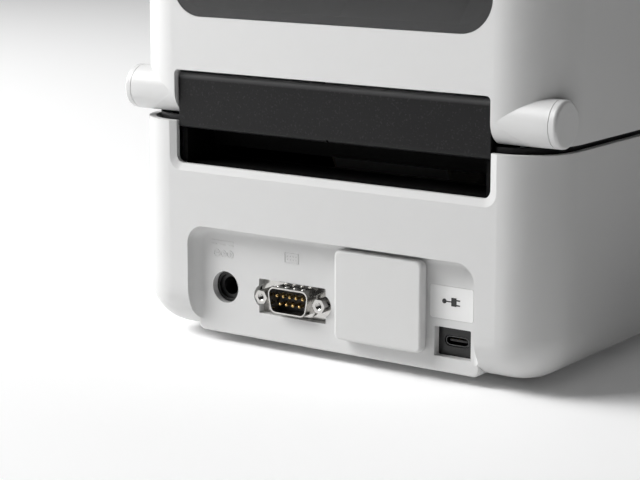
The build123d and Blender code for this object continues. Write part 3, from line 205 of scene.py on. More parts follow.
def slab(bm, low, high, soft=0.0, segments=2):
    """A block between two corners, with softened edges."""
    size = Vector(high) - Vector(low)
    made = bmesh.ops.create_cube(bm, size=1.0,
                                 matrix=Matrix.Translation((Vector(low) + Vector(high)) / 2)
                                 @ Matrix.Diagonal((*size, 1.0)))
    if soft:
        edges = list({e for v in made["verts"] for e in v.link_edges})
        bmesh.ops.bevel(bm, geom=edges, offset=soft, segments=segments, profile=0.5, affect="EDGES",
                        material=-1)


def turned(bm, profile, centre, axis, steps=32):
    """A turned shape: (radius, height) points spun about an axis through centre."""
    before = set(bm.verts)
    made = [bm.verts.new((radius, 0.0, height)) for radius, height in profile]
    edges = [bm.edges.new(pair) for pair in zip(made, made[1:])]
    bmesh.ops.spin(bm, geom=made + edges, cent=(0, 0, 0), axis=(0, 0, 1), dvec=(0, 0, 0),
                   angle=math.tau, space=Matrix.Identity(4), steps=steps, use_merge=True,
                   use_normal_flip=False, use_duplicate=False)
    swept = [vertex for vertex in bm.verts if vertex not in before]
    turn = Vector((0, 0, 1)).rotation_difference(Vector(axis)).to_matrix().to_4x4()
    bmesh.ops.transform(bm, matrix=Matrix.Translation(centre) @ turn, verts=swept)
    bmesh.ops.remove_doubles(bm, verts=swept, dist=1e-6)


def piece(name, bm, paint, body, smooth=True):
    """Closes a bmesh into an object that rides on a body."""
    bmesh.ops.recalc_face_normals(bm, faces=bm.faces)
    mesh = bpy.data.meshes.new(name)
    bm.to_mesh(mesh)
    bm.free()
    mesh.materials.append(paint)
    made = bpy.data.objects.new(name, mesh)
    bpy.context.scene.collection.objects.link(made)
    if smooth:
        mesh.polygons.foreach_set("use_smooth", [True] * len(mesh.polygons))
        mesh.set_sharp_from_angle(angle=math.radians(35))
    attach(made, body)
    return made


def ring(bm, x, z, inner, outer, y0, y1, steps=24):
    turned(bm, [(inner, 0), (outer, 0), (outer, y1 - y0), (inner, y1 - y0), (inner, 0)],
           (x, y0, z), (0, 1, 0), steps)


def dot(bm, x, z, radius, y0, y1):
    turned(bm, [(0, 0), (radius, 0), (radius, y1 - y0), (0, y1 - y0)], (x, y0, z), (0, 1, 0), 20)


marks = bmesh.new()
low, high = bay_face - 0.00005, bay_face + mark_rise
slab(marks, (0.0432, low, 0.0371), (0.0530, high, 0.0375))
for step in range(3):
    slab(marks, (0.0432 + 0.0037 * step, low, 0.0358), (0.0456 + 0.0037 * step, high, 0.0362))
for place in (0.0447, 0.0507):
    ring(marks, place, 0.0328, 0.00115, 0.00145, low, high)
    slab(marks, (place - 0.0007, low, 0.03265), (place + 0.0007, high, 0.03295))
slab(marks, (0.04455, low, 0.0321), (0.04485, high, 0.0335))
ring(marks, 0.0477, 0.0328, 0.0010, 0.0013, low, high)
dot(marks, 0.0477, 0.0328, 0.00045, low, high)
slab(marks, (0.0458, low, 0.03270), (0.0468, high, 0.03290))
slab(marks, (0.0486, low, 0.03270), (0.0496, high, 0.03290))
for z in (0.0330, 0.0363):
    slab(marks, (0.0145, low, z), (0.0205, high, z + 0.00025))
for x in (0.0145, 0.02025):
    slab(marks, (x, low, 0.0330), (x + 0.00025, high, 0.03655))
for column in range(4):
    for z in (0.0341, 0.0353):
        dot(marks, 0.0157 + 0.0012 * column, z, 0.00026, low, high)
piece("bay_marks", marks, case_white, "base")


# ---- black inner frame: roll chassis, bottom plate, slot panel ----------------------------
# Glass-filled black plastic. The panel over the media slot has a coarse spark texture with
# painted glints, sparse spots painted a lighter grey; the chassis and the bottom plate are
# smoother.
chassis_black = moulded("chassis black", (0.005, 0.005, 0.006), (0.008, 0.008, 0.009), 0.52, 1500.0,
                        0.00003, gloss=0.3)
panel_black = moulded("panel black", (0.004, 0.004, 0.0045), (0.007, 0.007, 0.0075), 0.42, 1300.0,
                      0.00006, gloss=0.22)
# The panel's own extras: painted glints, sparse spots painted a lighter grey, and a painted
# highlight, a greyer band along its rounded top edge.
tree = panel_black.node_tree
panel_shader = tree.nodes["Principled BSDF"]
plain_tone = panel_shader.inputs["Base Color"].links[0].from_socket
panel_place = graph_point(tree, "ShaderNodeTexCoord", (-1300, 600))
# Painted glints: where this noise peaks, the panel's colour is painted a lighter grey.
painted_glint = graph_point(tree, "ShaderNodeTexNoise", (-1050, 600))
painted_glint.inputs["Scale"].default_value = 1500.0
painted_glint.inputs["Detail"].default_value = 1.0
painted_glint_mask = graph_point(tree, "ShaderNodeMapRange", (-850, 600))
painted_glint_mask.inputs["From Min"].default_value = 0.62
painted_glint_mask.inputs["From Max"].default_value = 0.70
painted_glint_tone = graph_point(tree, "ShaderNodeMix", (-550, 500), data_type="RGBA")
painted_glint_tone.inputs["B"].default_value = (0.016, 0.016, 0.0165, 1)
# Painted highlight: by height, a greyer band is painted along the panel's rounded top edge.
height = graph_point(tree, "ShaderNodeSeparateXYZ", (-1050, 850))
painted_highlight_band = graph_point(tree, "ShaderNodeMapRange", (-850, 850))
painted_highlight_band.inputs["From Min"].default_value = 0.0950
painted_highlight_band.inputs["From Max"].default_value = 0.0962
painted_highlight_band.inputs["To Max"].default_value = 0.85
painted_highlight_tone = graph_point(tree, "ShaderNodeMix", (-250, 500), data_type="RGBA")
painted_highlight_tone.inputs["B"].default_value = (0.085, 0.085, 0.086, 1)
tree.links.new(panel_place.outputs["Object"], painted_glint.inputs["Vector"])
tree.links.new(panel_place.outputs["Object"], height.inputs["Vector"])
tree.links.new(painted_glint.outputs["Fac"], painted_glint_mask.inputs["Value"])
tree.links.new(painted_glint_mask.outputs["Result"], painted_glint_tone.inputs["Factor"])
tree.links.new(plain_tone, painted_glint_tone.inputs["A"])
tree.links.new(height.outputs["Z"], painted_highlight_band.inputs["Value"])
tree.links.new(painted_highlight_band.outputs["Result"], painted_highlight_tone.inputs["Factor"])
tree.links.new(painted_glint_tone.outputs["Result"], painted_highlight_tone.inputs["A"])
tree.links.new(painted_highlight_tone.outputs["Result"], panel_shader.inputs["Base Color"])
wear(chassis_black, "roll_chassis", "bottom_plate", "exit_trim", "head_carrier")
wear(panel_black, "slot_panel")
# The channel behind the panel is the same plastic, painted near to black as painted shade, so the
# inside of the slot stays dark.
channel_painted_shade = moulded("channel black", (0.0015, 0.0015, 0.0015), (0.0025, 0.0025, 0.0025), 0.7,
                        1500.0, 0.00003, gloss=0.08)
wear(channel_painted_shade, "media_channel")

# Width scale beside the roll: fine ticks moulded on the deck, every 5 mm, filled with white ink.
scale_ink = moulded("scale ink", (0.62, 0.62, 0.60), (0.70, 0.70, 0.68), 0.6, 3000.0, 0.00001)
deck, tick_end, tick_gap, half_tick = 0.0795, -0.0445, 0.005, 0.00017
ticks = bmesh.new()
for step in range(-12, 13):
    length = 0.0062 if step % 2 == 0 else 0.0038
    slab(ticks, (tick_gap * step - half_tick, tick_end - length, deck - 0.00005),
         (tick_gap * step + half_tick, tick_end, deck + 0.00012))
piece("width_scale", ticks, scale_ink, "base", smooth=False)


# ---- rear sockets -------------------------------------------------------------------------
# The power socket, the insert of the nine-way plug and the USB bezel are glass-filled nylon.
# The plug's shell is drawn steel with bright nickel, and its flanks carry pressed dimples
# that grip the mating shell.
socket_black = moulded("socket black", (0.006, 0.006, 0.006), (0.009, 0.009, 0.009), 0.36, 1200.0,
                       0.00001)
wear(socket_black, "power_jack", "serial_insert", "usb_bezel", "usb_tongue")


def plated(name, tone, rough, streak=(400.0, 400.0, 400.0), depth=0.000004, dark=0.8):
    """A bare or plated metal with fine streaks that run along the least of the three scales."""
    paint = bpy.data.materials.new(name)
    paint.use_nodes = True
    tree = paint.node_tree
    shader = tree.nodes["Principled BSDF"]
    shader.inputs["Metallic"].default_value = 1.0
    place = graph_point(tree, "ShaderNodeTexCoord", (-1100, 0))
    stretch = graph_point(tree, "ShaderNodeMapping", (-900, 0))
    stretch.inputs["Scale"].default_value = streak
    noise = graph_point(tree, "ShaderNodeTexNoise", (-700, 0))
    noise.inputs["Scale"].default_value = 1.0
    noise.inputs["Detail"].default_value = 4.0
    tone_mix = graph_point(tree, "ShaderNodeMix", (-400, 200), data_type="RGBA")
    tone_mix.inputs["A"].default_value = (*[dark * c for c in tone], 1)
    tone_mix.inputs["B"].default_value = (*tone, 1)
    shine = graph_point(tree, "ShaderNodeMapRange", (-400, -100))
    shine.inputs["To Min"].default_value = max(0.04, rough - 0.08)
    shine.inputs["To Max"].default_value = rough + 0.1
    bump = graph_point(tree, "ShaderNodeBump", (-400, -350))
    bump.inputs["Distance"].default_value = depth
    tree.links.new(place.outputs["Object"], stretch.inputs["Vector"])
    tree.links.new(stretch.outputs["Vector"], noise.inputs["Vector"])
    tree.links.new(noise.outputs["Fac"], tone_mix.inputs["Factor"])
    tree.links.new(noise.outputs["Fac"], shine.inputs["Value"])
    tree.links.new(noise.outputs["Fac"], bump.inputs["Height"])
    tree.links.new(tone_mix.outputs["Result"], shader.inputs["Base Color"])
    tree.links.new(shine.outputs["Result"], shader.inputs["Roughness"])
    tree.links.new(bump.outputs["Normal"], shader.inputs["Normal"])
    return paint


nickel = plated("nickel plate", (0.62, 0.61, 0.59), 0.16)
# Painted shade: this nickel is darkened near to black so that the pin deep in the power socket
# reads as in shade; the USB shell wears the same darkened plate.
nickel_painted_shade = plated("dark nickel", (0.12, 0.12, 0.12), 0.34)
gold = plated("gold plate", (0.72, 0.50, 0.20), 0.26)
wear(nickel, "serial_shell", "serial_jackscrews")
wear(nickel_painted_shade, "power_jack_pin", "usb_shell")
wear(gold, "serial_pins")

plug_x, plug_z = 0.0173, 0.0195
shell_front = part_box("serial_shell")[1].y
shell_half_h = 0.0047

dimples = bmesh.new()
for x in (-0.0052, -0.0017, 0.0018, 0.0053):
    for side in (1, -1):
        at = Matrix.Translation((plug_x + x * (1 if side > 0 else 0.7), shell_front - 0.0026,
                                 plug_z + side * shell_half_h))
        bmesh.ops.create_uvsphere(dimples, u_segments=16, v_segments=8, radius=1.0,
                                  matrix=at @ Matrix.Diagonal((0.00085, 0.0011, 0.00034, 1.0)))
piece("plug_dimples", dimples, nickel, "base")

# The hexagon posts are tapped: the first turns of the thread show in each bore.
threads = bmesh.new()
for side in (-1, 1):
    for turn in range(5):
        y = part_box("serial_jackscrews")[1].y - 0.0004 - 0.00064 * turn
        turned(threads, [(0.00128, 0.00018), (0.00102, 0.0), (0.00128, -0.00018)],
               (plug_x + side * 0.012495, y, plug_z), (0, 1, 0), 24)
piece("post_threads", threads, nickel, "base")

# Sprung contacts in the power socket: two folded bronze tips, tinned, beside the bore.
tips = bmesh.new()
for z in (0.0191, 0.0221):
    slab(tips, (0.0436, 0.0972, z - 0.0005), (0.0443, 0.1016, z + 0.0005), 0.0002)
piece("jack_contacts", tips, nickel, "base")

# Contact pads along both faces of the USB tongue.
pads = bmesh.new()
for column in range(6):
    x = -0.0488 + 0.0010 * (column - 2.5)
    for z in (0.01431, 0.01361):
        slab(pads, (x - 0.00026, 0.0975, z), (x + 0.00026, 0.1021, z + 0.00008))
piece("usb_pads", pads, gold, "base", smooth=False)

# Printed film label beside the port, with a small generic plug-and-lead sign in black ink.
film = moulded("label film", (0.74, 0.74, 0.735), (0.77, 0.77, 0.765), 0.34, 1800.0, 0.000006)
wear(film, "port_label")
ink = moulded("printing ink", (0.02, 0.02, 0.02), (0.03, 0.03, 0.03), 0.5, 2500.0, 0.000004)
sign = bmesh.new()
low, high = bay_face - 0.00002, bay_face + 0.00006
dot(sign, -0.0455, 0.0281, 0.00085, low, high)
slab(sign, (-0.0484, low, 0.02790), (-0.0452, high, 0.02830))
slab(sign, (-0.0502, low, 0.02665), (-0.0482, high, 0.02955))
for z in (0.02710, 0.02880):
    slab(sign, (-0.0516, low, z - 0.00022), (-0.0501, high, z + 0.00022))
piece("port_sign", sign, ink, "base", smooth=False)


# ---- smoked window ------------------------------------------------------------------------
# Polished acrylic, dyed dark grey in the mass. It drops into a rebate in the cover.
smoke = bpy.data.materials.new("smoked acrylic")
smoke.use_nodes = True
tree = smoke.node_tree
smoke_shader = tree.nodes["Principled BSDF"]
smoke_shader.inputs["IOR"].default_value = 1.49
smoke_shader.inputs["Transmission Weight"].default_value = 0.9
haze = graph_point(tree, "ShaderNodeGroup", (-700, 0), node_tree=spark)
haze.inputs["Grain"].default_value = 300.0
haze.inputs["Depth"].default_value = 0.0000005
haze_tone = graph_point(tree, "ShaderNodeMix", (-400, 200), data_type="RGBA")
haze_tone.inputs["A"].default_value = (0.060, 0.060, 0.064, 1)
haze_tone.inputs["B"].default_value = (0.075, 0.075, 0.078, 1)
haze_shine = graph_point(tree, "ShaderNodeMapRange", (-400, -200))
haze_shine.inputs["To Min"].default_value = 0.05
haze_shine.inputs["To Max"].default_value = 0.09
tree.links.new(haze.outputs["Drift"], haze_tone.inputs["Factor"])
tree.links.new(haze_tone.outputs["Result"], smoke_shader.inputs["Base Color"])
tree.links.new(haze.outputs["Crest"], haze_shine.inputs["Value"])
tree.links.new(haze_shine.outputs["Result"], smoke_shader.inputs["Roughness"])
wear(smoke, "cover_window")


# ---- feet, screws and bottom plate --------------------------------------------------------
# Four moulded rubber feet pressed into the bottom plate, and zinc-plated pan head screws with
# a cross recess, driven up into the case and the chassis posts. Four more hold the board down.
rubber = moulded("rubber", (0.014, 0.014, 0.014), (0.022, 0.022, 0.022), 0.72, 900.0, 0.00003,
                 gloss=0.3)
wear(rubber, "rubber_feet")
zinc = plated("zinc plate", (0.56, 0.56, 0.58), 0.32)
wear(zinc, "head_screws", "stepper_motor")

# Each screw's place, underside and head height.
screw_places = [(x, y, 0.00355, 0.0007) for x in (-0.065, 0.065) for y in (-0.062, 0.056)]
screw_places += [(x, y, 0.0037, 0.0011) for x in (-0.072, 0.072) for y in (-0.030, 0.038)]
screws = bmesh.new()
for x, y, z, tall in screw_places:
    turned(screws, [(0, tall), (0.0029, tall), (0.0029, 0.0003), (0.0026, 0.00005), (0.0017, 0.0),
                    (0.0015, 0.0)], (x, y, z), (0, 0, 1), 28)
    turned(screws, [(0.0015, 0.0), (0.0011, 0.00055), (0, 0.00065)], (x, y, z), (0, 0, 1), 28)
    turned(screws, [(0, 0.008), (0.0014, 0.008), (0.0014, tall), (0, tall)], (x, y, z), (0, 0, 1),
           12)
top = 0.01397        # top of the board screws' heads
for x in (-0.056, 0.056):
    for y in (0.052, 0.078):
        turned(screws, [(0, -0.0016), (0.0029, -0.0016), (0.0029, -0.0005), (0.0024, -0.0001),
                        (0.0015, 0.0),
                        (0.0011, -0.00055), (0, -0.00065)], (x, y, top), (0, 0, 1), 28)
        turned(screws, [(0, -0.0068), (0.0014, -0.0068), (0.0014, -0.0016)], (x, y, top), (0, 0, 1),
               12)
screw_heads = piece("pan_screws", screws, zinc, "base")
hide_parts("case_screws")
# Painted shade: each cross recess is drawn as a black cross of socket plastic inside the head's
# recess, standing for the shade within it.
cross_recess_shade = bmesh.new()
for x, y, z, _ in screw_places:
    for turn in (0.35, 0.35 + math.pi / 2):
        bmesh.ops.create_cube(cross_recess_shade, size=1.0, matrix=Matrix.Translation((x, y, z + 0.00030))
                              @ Matrix.Rotation(turn, 4, "Z")
                              @ Matrix.Diagonal((0.0030, 0.0006, 0.0004, 1)))
piece("screw_crosses", cross_recess_shade, socket_black, "base", smooth=False)


# ---- print head springs -------------------------------------------------------------------
# Two compression springs of round steel wire between the carrier in the cover and the heat sink.
spring_low, spring_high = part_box("head_springs")
wire, wire_sides, turn_steps, turns = 0.00055, 8, 20, 5
coil_y = (spring_low.y + spring_high.y) / 2
coil_outer = (spring_high.y - spring_low.y) / 2
coil_low, coil_high = spring_low.z + wire, spring_high.z - wire
coils = bmesh.new()
for coil_x in (spring_low.x + coil_outer, spring_high.x - coil_outer):
    rings = []
    for step in range(turns * turn_steps + 1):
        share = step / (turns * turn_steps)
        turn = share * turns * math.tau
        out = Vector((math.cos(turn), math.sin(turn), 0))
        middle = Vector((coil_x, coil_y, coil_low + share * (coil_high - coil_low)))
        middle += out * (coil_outer - wire)
        around = [math.tau * k / wire_sides for k in range(wire_sides)]
        rings.append([coils.verts.new(middle + out * (wire * math.cos(angle))
                                      + Vector((0, 0, wire * math.sin(angle))))
                      for angle in around])
    for near, far in zip(rings, rings[1:]):
        for k in range(wire_sides):
            coils.faces.new((near[k], near[(k + 1) % wire_sides], far[(k + 1) % wire_sides],
                             far[k]))
    coils.faces.new(rings[0][::-1])
    coils.faces.new(rings[-1])
bmesh.ops.recalc_face_normals(coils, faces=coils.faces)
coil_mesh = bpy.data.meshes.new("spring_coils")
coils.to_mesh(coil_mesh)
coils.free()
coil_mesh.materials.append(zinc)
coil_mesh.polygons.foreach_set("use_smooth", [True] * len(coil_mesh.polygons))
coil_mesh.set_sharp_from_angle(angle=math.radians(50))
spring_coils = bpy.data.objects.new("spring_coils", coil_mesh)
bpy.context.scene.collection.objects.link(spring_coils)
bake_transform(spring_coils)
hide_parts("head_springs")


# ---- steel shafts, pins and blades --------------------------------------------------------
# Centreless ground shafts with fine lines round them, and stamped hooks and tear blade.
ground_steel = plated("ground steel", (0.66, 0.66, 0.67), 0.22, (2500.0, 20.0, 20.0))
wear(ground_steel, "hinge_pins", "platen_shaft", "idler_stud", "motor_shaft", "sensor_rail",
     "latch_shaft",
     "latch_hooks", "catch_pins", "tear_bar")


# ---- platen and gear train ----------------------------------------------------------------
# Ground silicone rubber on the platen shaft, acetal bushes and gears, a brass motor pinion.
platen_black = moulded("platen rubber", (0.022, 0.022, 0.023), (0.032, 0.032, 0.033), 0.62, 4000.0,
                       0.00002,
                       gloss=0.35)
acetal = moulded("acetal", (0.70, 0.70, 0.67), (0.76, 0.76, 0.73), 0.38, 900.0, 0.000008)
wear(platen_black, "platen_rubber")
wear(acetal, "platen_bushes", "platen_gear", "idler_gear", "guide_pinion")
wear(gold, "motor_pinion")

# The idler is held on its stud by a spring clip, an open steel ring in a groove.
idler_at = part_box("idler_gear")
idler_y, idler_z = (idler_at[0].y + idler_at[1].y) / 2, (idler_at[0].z + idler_at[1].z) / 2
clip = bmesh.new()
clip_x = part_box("motor_pinion")[1].x - 0.0005
turned(clip, [(0.0021, 0), (0.0036, 0), (0.0036, 0.0004), (0.0021, 0.0004), (0.0021, 0)],
       (clip_x, idler_y, idler_z), (1, 0, 0), 32)
piece("idler_clip", clip, ground_steel, "base")

# The motor's steel can is rolled over at both ends, and four pins stand on its socket.
motor_y, motor_z = -0.064, 0.048
can_seat, can_radius = 0.0196, 0.02004
can_ends = (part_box("stepper_motor")[0].x + 0.0022, 0.0555)
can_rims = bmesh.new()
for end_x in can_ends:
    turned(can_rims, [(can_seat, 0), (can_radius, 0.0001), (can_radius + 0.0001, 0.0005),
                      (can_radius, 0.0009), (can_seat, 0.001)],
           (end_x, motor_y, motor_z), (1, 0, 0), 48)
piece("motor_can_rims", can_rims, zinc, "base")
motor_leads = bmesh.new()
for lead in range(4):
    spot = Vector((0.0472 + 0.0022 * lead, motor_y + 0.0206, motor_z + 0.0056))
    turned(motor_leads, [(0, 0), (0.0006, 0), (0.0006, 0.0022), (0.00045, 0.0026), (0, 0.0026)],
           spot,
           (0, 0, 1), 12)
piece("motor_pins", motor_leads, nickel, "base")


# ---- label roll and its core --------------------------------------------------------------
# Die-cut paper labels on a translucent liner, wound on a card core. The sides show the
# windings as fine rings, slightly uneven, and the outside shows the gaps between labels.
roll_low, roll_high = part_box("label_roll")
roll_y, roll_z = (roll_low.y + roll_high.y) / 2, (roll_low.z + roll_high.z) / 2
roll_radius = (roll_high.z - roll_low.z) / 2
core_radius = (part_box("roll_core")[1].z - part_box("roll_core")[0].z) / 2


def wound(name, low, high, rough, rings, depth):
    """Paper: fibres by noise, and windings as rings about the roll's axis on the sides."""
    paint = moulded(name, low, high, rough, 1400.0, 0.000012, gloss=0.3)
    tree = paint.node_tree
    place = graph_point(tree, "ShaderNodeTexCoord", (-1300, -500))
    centred = graph_point(tree, "ShaderNodeMapping", (-1100, -500))
    centred.inputs["Location"].default_value = (0.0, -roll_y, -roll_z)
    turns = graph_point(tree, "ShaderNodeTexWave", (-900, -500), wave_type="RINGS",
                        rings_direction="X")
    turns.inputs["Scale"].default_value = rings
    turns.inputs["Distortion"].default_value = 0.6
    turns.inputs["Detail"].default_value = 2.0
    turns.inputs["Detail Scale"].default_value = 0.3
    groove = graph_point(tree, "ShaderNodeBump", (-500, -500))
    groove.inputs["Distance"].default_value = depth
    shade = graph_point(tree, "ShaderNodeMix", (-200, 300), data_type="RGBA", blend_type="MULTIPLY")
    shade.inputs["B"].default_value = (0.86, 0.85, 0.82, 1)
    fade = graph_point(tree, "ShaderNodeMapRange", (-600, -250))
    fade.inputs["To Max"].default_value = 0.5
    texture = next(node for node in tree.nodes if node.type == "GROUP")
    shader = tree.nodes["Principled BSDF"]
    tone = shader.inputs["Base Color"].links[0].from_socket
    tree.links.new(place.outputs["Object"], centred.inputs["Vector"])
    tree.links.new(centred.outputs["Vector"], turns.inputs["Vector"])
    tree.links.new(turns.outputs["Fac"], groove.inputs["Height"])
    tree.links.new(texture.outputs["Normal"], groove.inputs["Normal"])
    tree.links.new(groove.outputs["Normal"], shader.inputs["Normal"])
    tree.links.new(turns.outputs["Fac"], fade.inputs["Value"])
    tree.links.new(fade.outputs["Result"], shade.inputs["Factor"])
    tree.links.new(tone, shade.inputs["A"])
    tree.links.new(shade.outputs["Result"], shader.inputs["Base Color"])
    return paint


paper = wound("label paper", (0.80, 0.80, 0.78), (0.85, 0.85, 0.83), 0.55, 900.0, 0.00004)
liner = wound("liner paper", (0.70, 0.68, 0.60), (0.76, 0.74, 0.66), 0.40, 900.0, 0.00004)
card = wound("core card", (0.34, 0.24, 0.15), (0.44, 0.33, 0.22), 0.75, 700.0, 0.00006)
wear(card, "roll_core")

half_roll = roll_high.x
wound_liner = bmesh.new()
side_steps = [(core_radius, half_roll - 0.0002)]
for step in range(1, 13):
    radius = core_radius + (roll_radius - 0.0003 - core_radius) * step / 12
    side_steps.append((radius, half_roll - (0.0 if step % 2 else 0.00022)))
profile = [(r, -h) for r, h in side_steps] + [(r, h) for r, h in reversed(side_steps)]
turned(wound_liner, profile + profile[:1], (0, roll_y, roll_z), (1, 0, 0), 96)
roll_piece = piece("wound_liner", wound_liner, liner, "media_roll")
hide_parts("label_roll")

label_count, label_gap = 4, math.radians(3.6)
outer_labels = bmesh.new()
for label in range(label_count):
    start = label * math.tau / label_count + math.radians(18)
    radius = roll_radius - 0.0003
    strip = [outer_labels.verts.new((x, roll_y + radius * math.cos(start),
                                     roll_z + radius * math.sin(start)))
             for x in (-half_roll + 0.0014, half_roll - 0.0014)]
    strip_edge = outer_labels.edges.new(strip)
    bmesh.ops.spin(outer_labels, geom=strip + [strip_edge], cent=(0, roll_y, roll_z),
                   axis=(1, 0, 0),
                   dvec=(0, 0, 0), angle=math.tau / label_count - label_gap,
                   space=Matrix.Identity(4),
                   steps=24, use_merge=False, use_normal_flip=False, use_duplicate=False)
bmesh.ops.remove_doubles(outer_labels, verts=outer_labels.verts, dist=1e-6)
for corner_face in outer_labels.faces:
    centre = corner_face.calc_center_median()
    if corner_face.normal.dot(centre - Vector((centre.x, roll_y, roll_z))) < 0:
        corner_face.normal_flip()
bmesh.ops.solidify(outer_labels, geom=outer_labels.faces[:], thickness=-0.00022)
piece("outer_labels", outer_labels, paper, "media_roll")


# ---- roll guides and media sensor ---------------------------------------------------------
# Grey ABS uprights with a hub each. A raised rim and ribs stiffen the outer face.
guide_grey = moulded("guide grey", (0.34, 0.35, 0.36), (0.38, 0.39, 0.40), 0.48, 1700.0, 0.00002)
wear(guide_grey, "left_guide", "right_guide")
for name, side in (("left_guide", -1), ("right_guide", 1)):
    outside = side * 0.0292
    ribs = bmesh.new()
    turned(ribs, [(0.0208, 0), (0.0208, 0.0009), (0.0225, 0.0009), (0.0225, 0), (0.0208, 0)],
           (outside, roll_y, roll_z), (side, 0, 0), 48)
    turned(ribs, [(0.0100, 0), (0.0100, 0.0009), (0.0114, 0.0009), (0.0114, 0), (0.0100, 0)],
           (outside, roll_y, roll_z), (side, 0, 0), 40)
    for turn in range(6):
        lean = Matrix.Translation((outside + side * 0.0004, roll_y, roll_z)) \
            @ Matrix.Rotation(turn * math.tau / 6, 4, "X") @ Matrix.Translation((0, 0, 0.0161))
        bmesh.ops.create_cube(ribs, size=1.0,
                              matrix=lean @ Matrix.Diagonal((0.0009, 0.0012, 0.0100, 1)))
    piece(name + "_ribs", ribs, guide_grey, name)

sensor_black = moulded("sensor black", (0.014, 0.014, 0.015), (0.020, 0.020, 0.021), 0.42, 1500.0,
                       0.00001)
wear(sensor_black, "media_sensor")
eye = bmesh.new()
turned(eye, [(0, 0.0011), (0.0007, 0.0010), (0.0012, 0.0006), (0.0015, 0.0), (0, 0)],
       (0, -0.067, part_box("media_sensor")[1].z - 0.0011), (0, 0, 1), 24)
lens_red = moulded("sensor lens", (0.10, 0.006, 0.008), (0.14, 0.008, 0.010), 0.12, 500.0, 0.000001)
piece("sensor_eye", eye, lens_red, "media_sensor")


# ---- electronics --------------------------------------------------------------------------
# Glass-epoxy boards under green solder resist, with black epoxy packages on tinned leads,
# aluminium electrolytic cans and cream nylon sockets.
def circuit_green(name):
    """Solder resist, lighter where copper lies under it."""
    paint = moulded(name, (0.006, 0.075, 0.030), (0.009, 0.095, 0.040), 0.30, 1200.0, 0.000006)
    tree = paint.node_tree
    place = graph_point(tree, "ShaderNodeTexCoord", (-1100, 500))
    tracks = graph_point(tree, "ShaderNodeTexBrick", (-800, 500), offset=0.37, squash=1.6,
                         squash_frequency=3)
    tracks.inputs["Color1"].default_value = (0, 0, 0, 1)
    tracks.inputs["Color2"].default_value = (0.25, 0.25, 0.25, 1)
    tracks.inputs["Mortar"].default_value = (1, 1, 1, 1)
    tracks.inputs["Scale"].default_value = 160.0
    tracks.inputs["Mortar Size"].default_value = 0.035
    copper = graph_point(tree, "ShaderNodeMix", (-150, 400), data_type="RGBA")
    copper.inputs["B"].default_value = (0.030, 0.190, 0.080, 1)
    shader = tree.nodes["Principled BSDF"]
    tone = shader.inputs["Base Color"].links[0].from_socket
    tree.links.new(place.outputs["Object"], tracks.inputs["Vector"])
    tree.links.new(tracks.outputs["Color"], copper.inputs["Factor"])
    tree.links.new(tone, copper.inputs["A"])
    tree.links.new(copper.outputs["Result"], shader.inputs["Base Color"])
    return paint


board_green = circuit_green("solder resist")
wear(board_green, "main_board", "key_board")
chip_black = moulded("epoxy package", (0.016, 0.016, 0.017), (0.022, 0.022, 0.023), 0.55, 2600.0,
                     0.00001)
wear(chip_black, "board_chips", "key_switches")
cream = moulded("socket cream", (0.70, 0.66, 0.54), (0.74, 0.70, 0.58), 0.42, 1400.0, 0.00001)
wear(cream, "board_sockets")
can_metal = plated("capacitor can", (0.62, 0.63, 0.65), 0.30)
wear(can_metal, "board_capacitors")
sleeve_black = moulded("can sleeve", (0.012, 0.014, 0.030), (0.016, 0.018, 0.038), 0.35, 900.0,
                       0.000004)

board_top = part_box("main_board")[1].z
# Middle, width and depth of each package, and its legs every 1.27 mm.
pitch = 1.27
packages = [(-8, 66, 14, 14), (-34, 64, 10, 12), (14, 60, 8, 5), (28, 66, 12, 8), (42, 62, 7, 7),
            (-48, 84, 6, 5)]
leads = bmesh.new()
for x, y, wide, deep in packages:
    count = int(deep / pitch)
    for lead in range(count):
        along = (y + (lead - (count - 1) / 2) * pitch) / 1000
        for side in (-1, 1):
            foot = (x + side * (wide / 2 + 0.55)) / 1000
            slab(leads, (foot - 0.00055, along - 0.0002, board_top + 0.00002),
                 (foot + 0.00055, along + 0.0002, board_top + 0.0002))
            slab(leads, (foot - side * 0.00055 - 0.0001, along - 0.0002, board_top + 0.0001),
                 (foot - side * 0.00055 + 0.0001, along + 0.0002, board_top + 0.0007))
piece("chip_leads", leads, nickel, "base", smooth=False)

sleeves = bmesh.new()
# Middle, radius and height of each can, in millimetres.
for x, y, radius, tall in ((55, 66, 3.2, 8), (36, 92, 3, 10), (40, 80, 3.2, 8), (4, 82, 2.5, 6)):
    r, h = radius / 1000, tall / 1000
    turned(sleeves, [(r, 0.0005), (r + 0.00012, 0.0006), (r + 0.00012, 0.0012),
                     (r - 0.0001, 0.0016),
                     (r + 0.00012, 0.0020), (r + 0.00012, h), (r - 0.0004, h + 0.0001),
                     (r - 0.0005, h)],
           (x / 1000, y / 1000, board_top), (0, 0, 1), 28)
piece("can_sleeves", sleeves, sleeve_black, "base")

socket_pins = bmesh.new()
# Middle and width of each socket, with pins every 2 mm.
for x, wide in ((-44, 14), (-24, 20), (20, 12), (46, 8)):
    count = int((wide - 3) / 2.0)
    for pin in range(count):
        at = (x + (pin - (count - 1) / 2) * 2.0) / 1000
        slab(socket_pins, (at - 0.00025, 0.0476, board_top + 0.0023),
             (at + 0.00025, 0.0510, board_top + 0.0028))
piece("socket_pins", socket_pins, gold, "base", smooth=False)

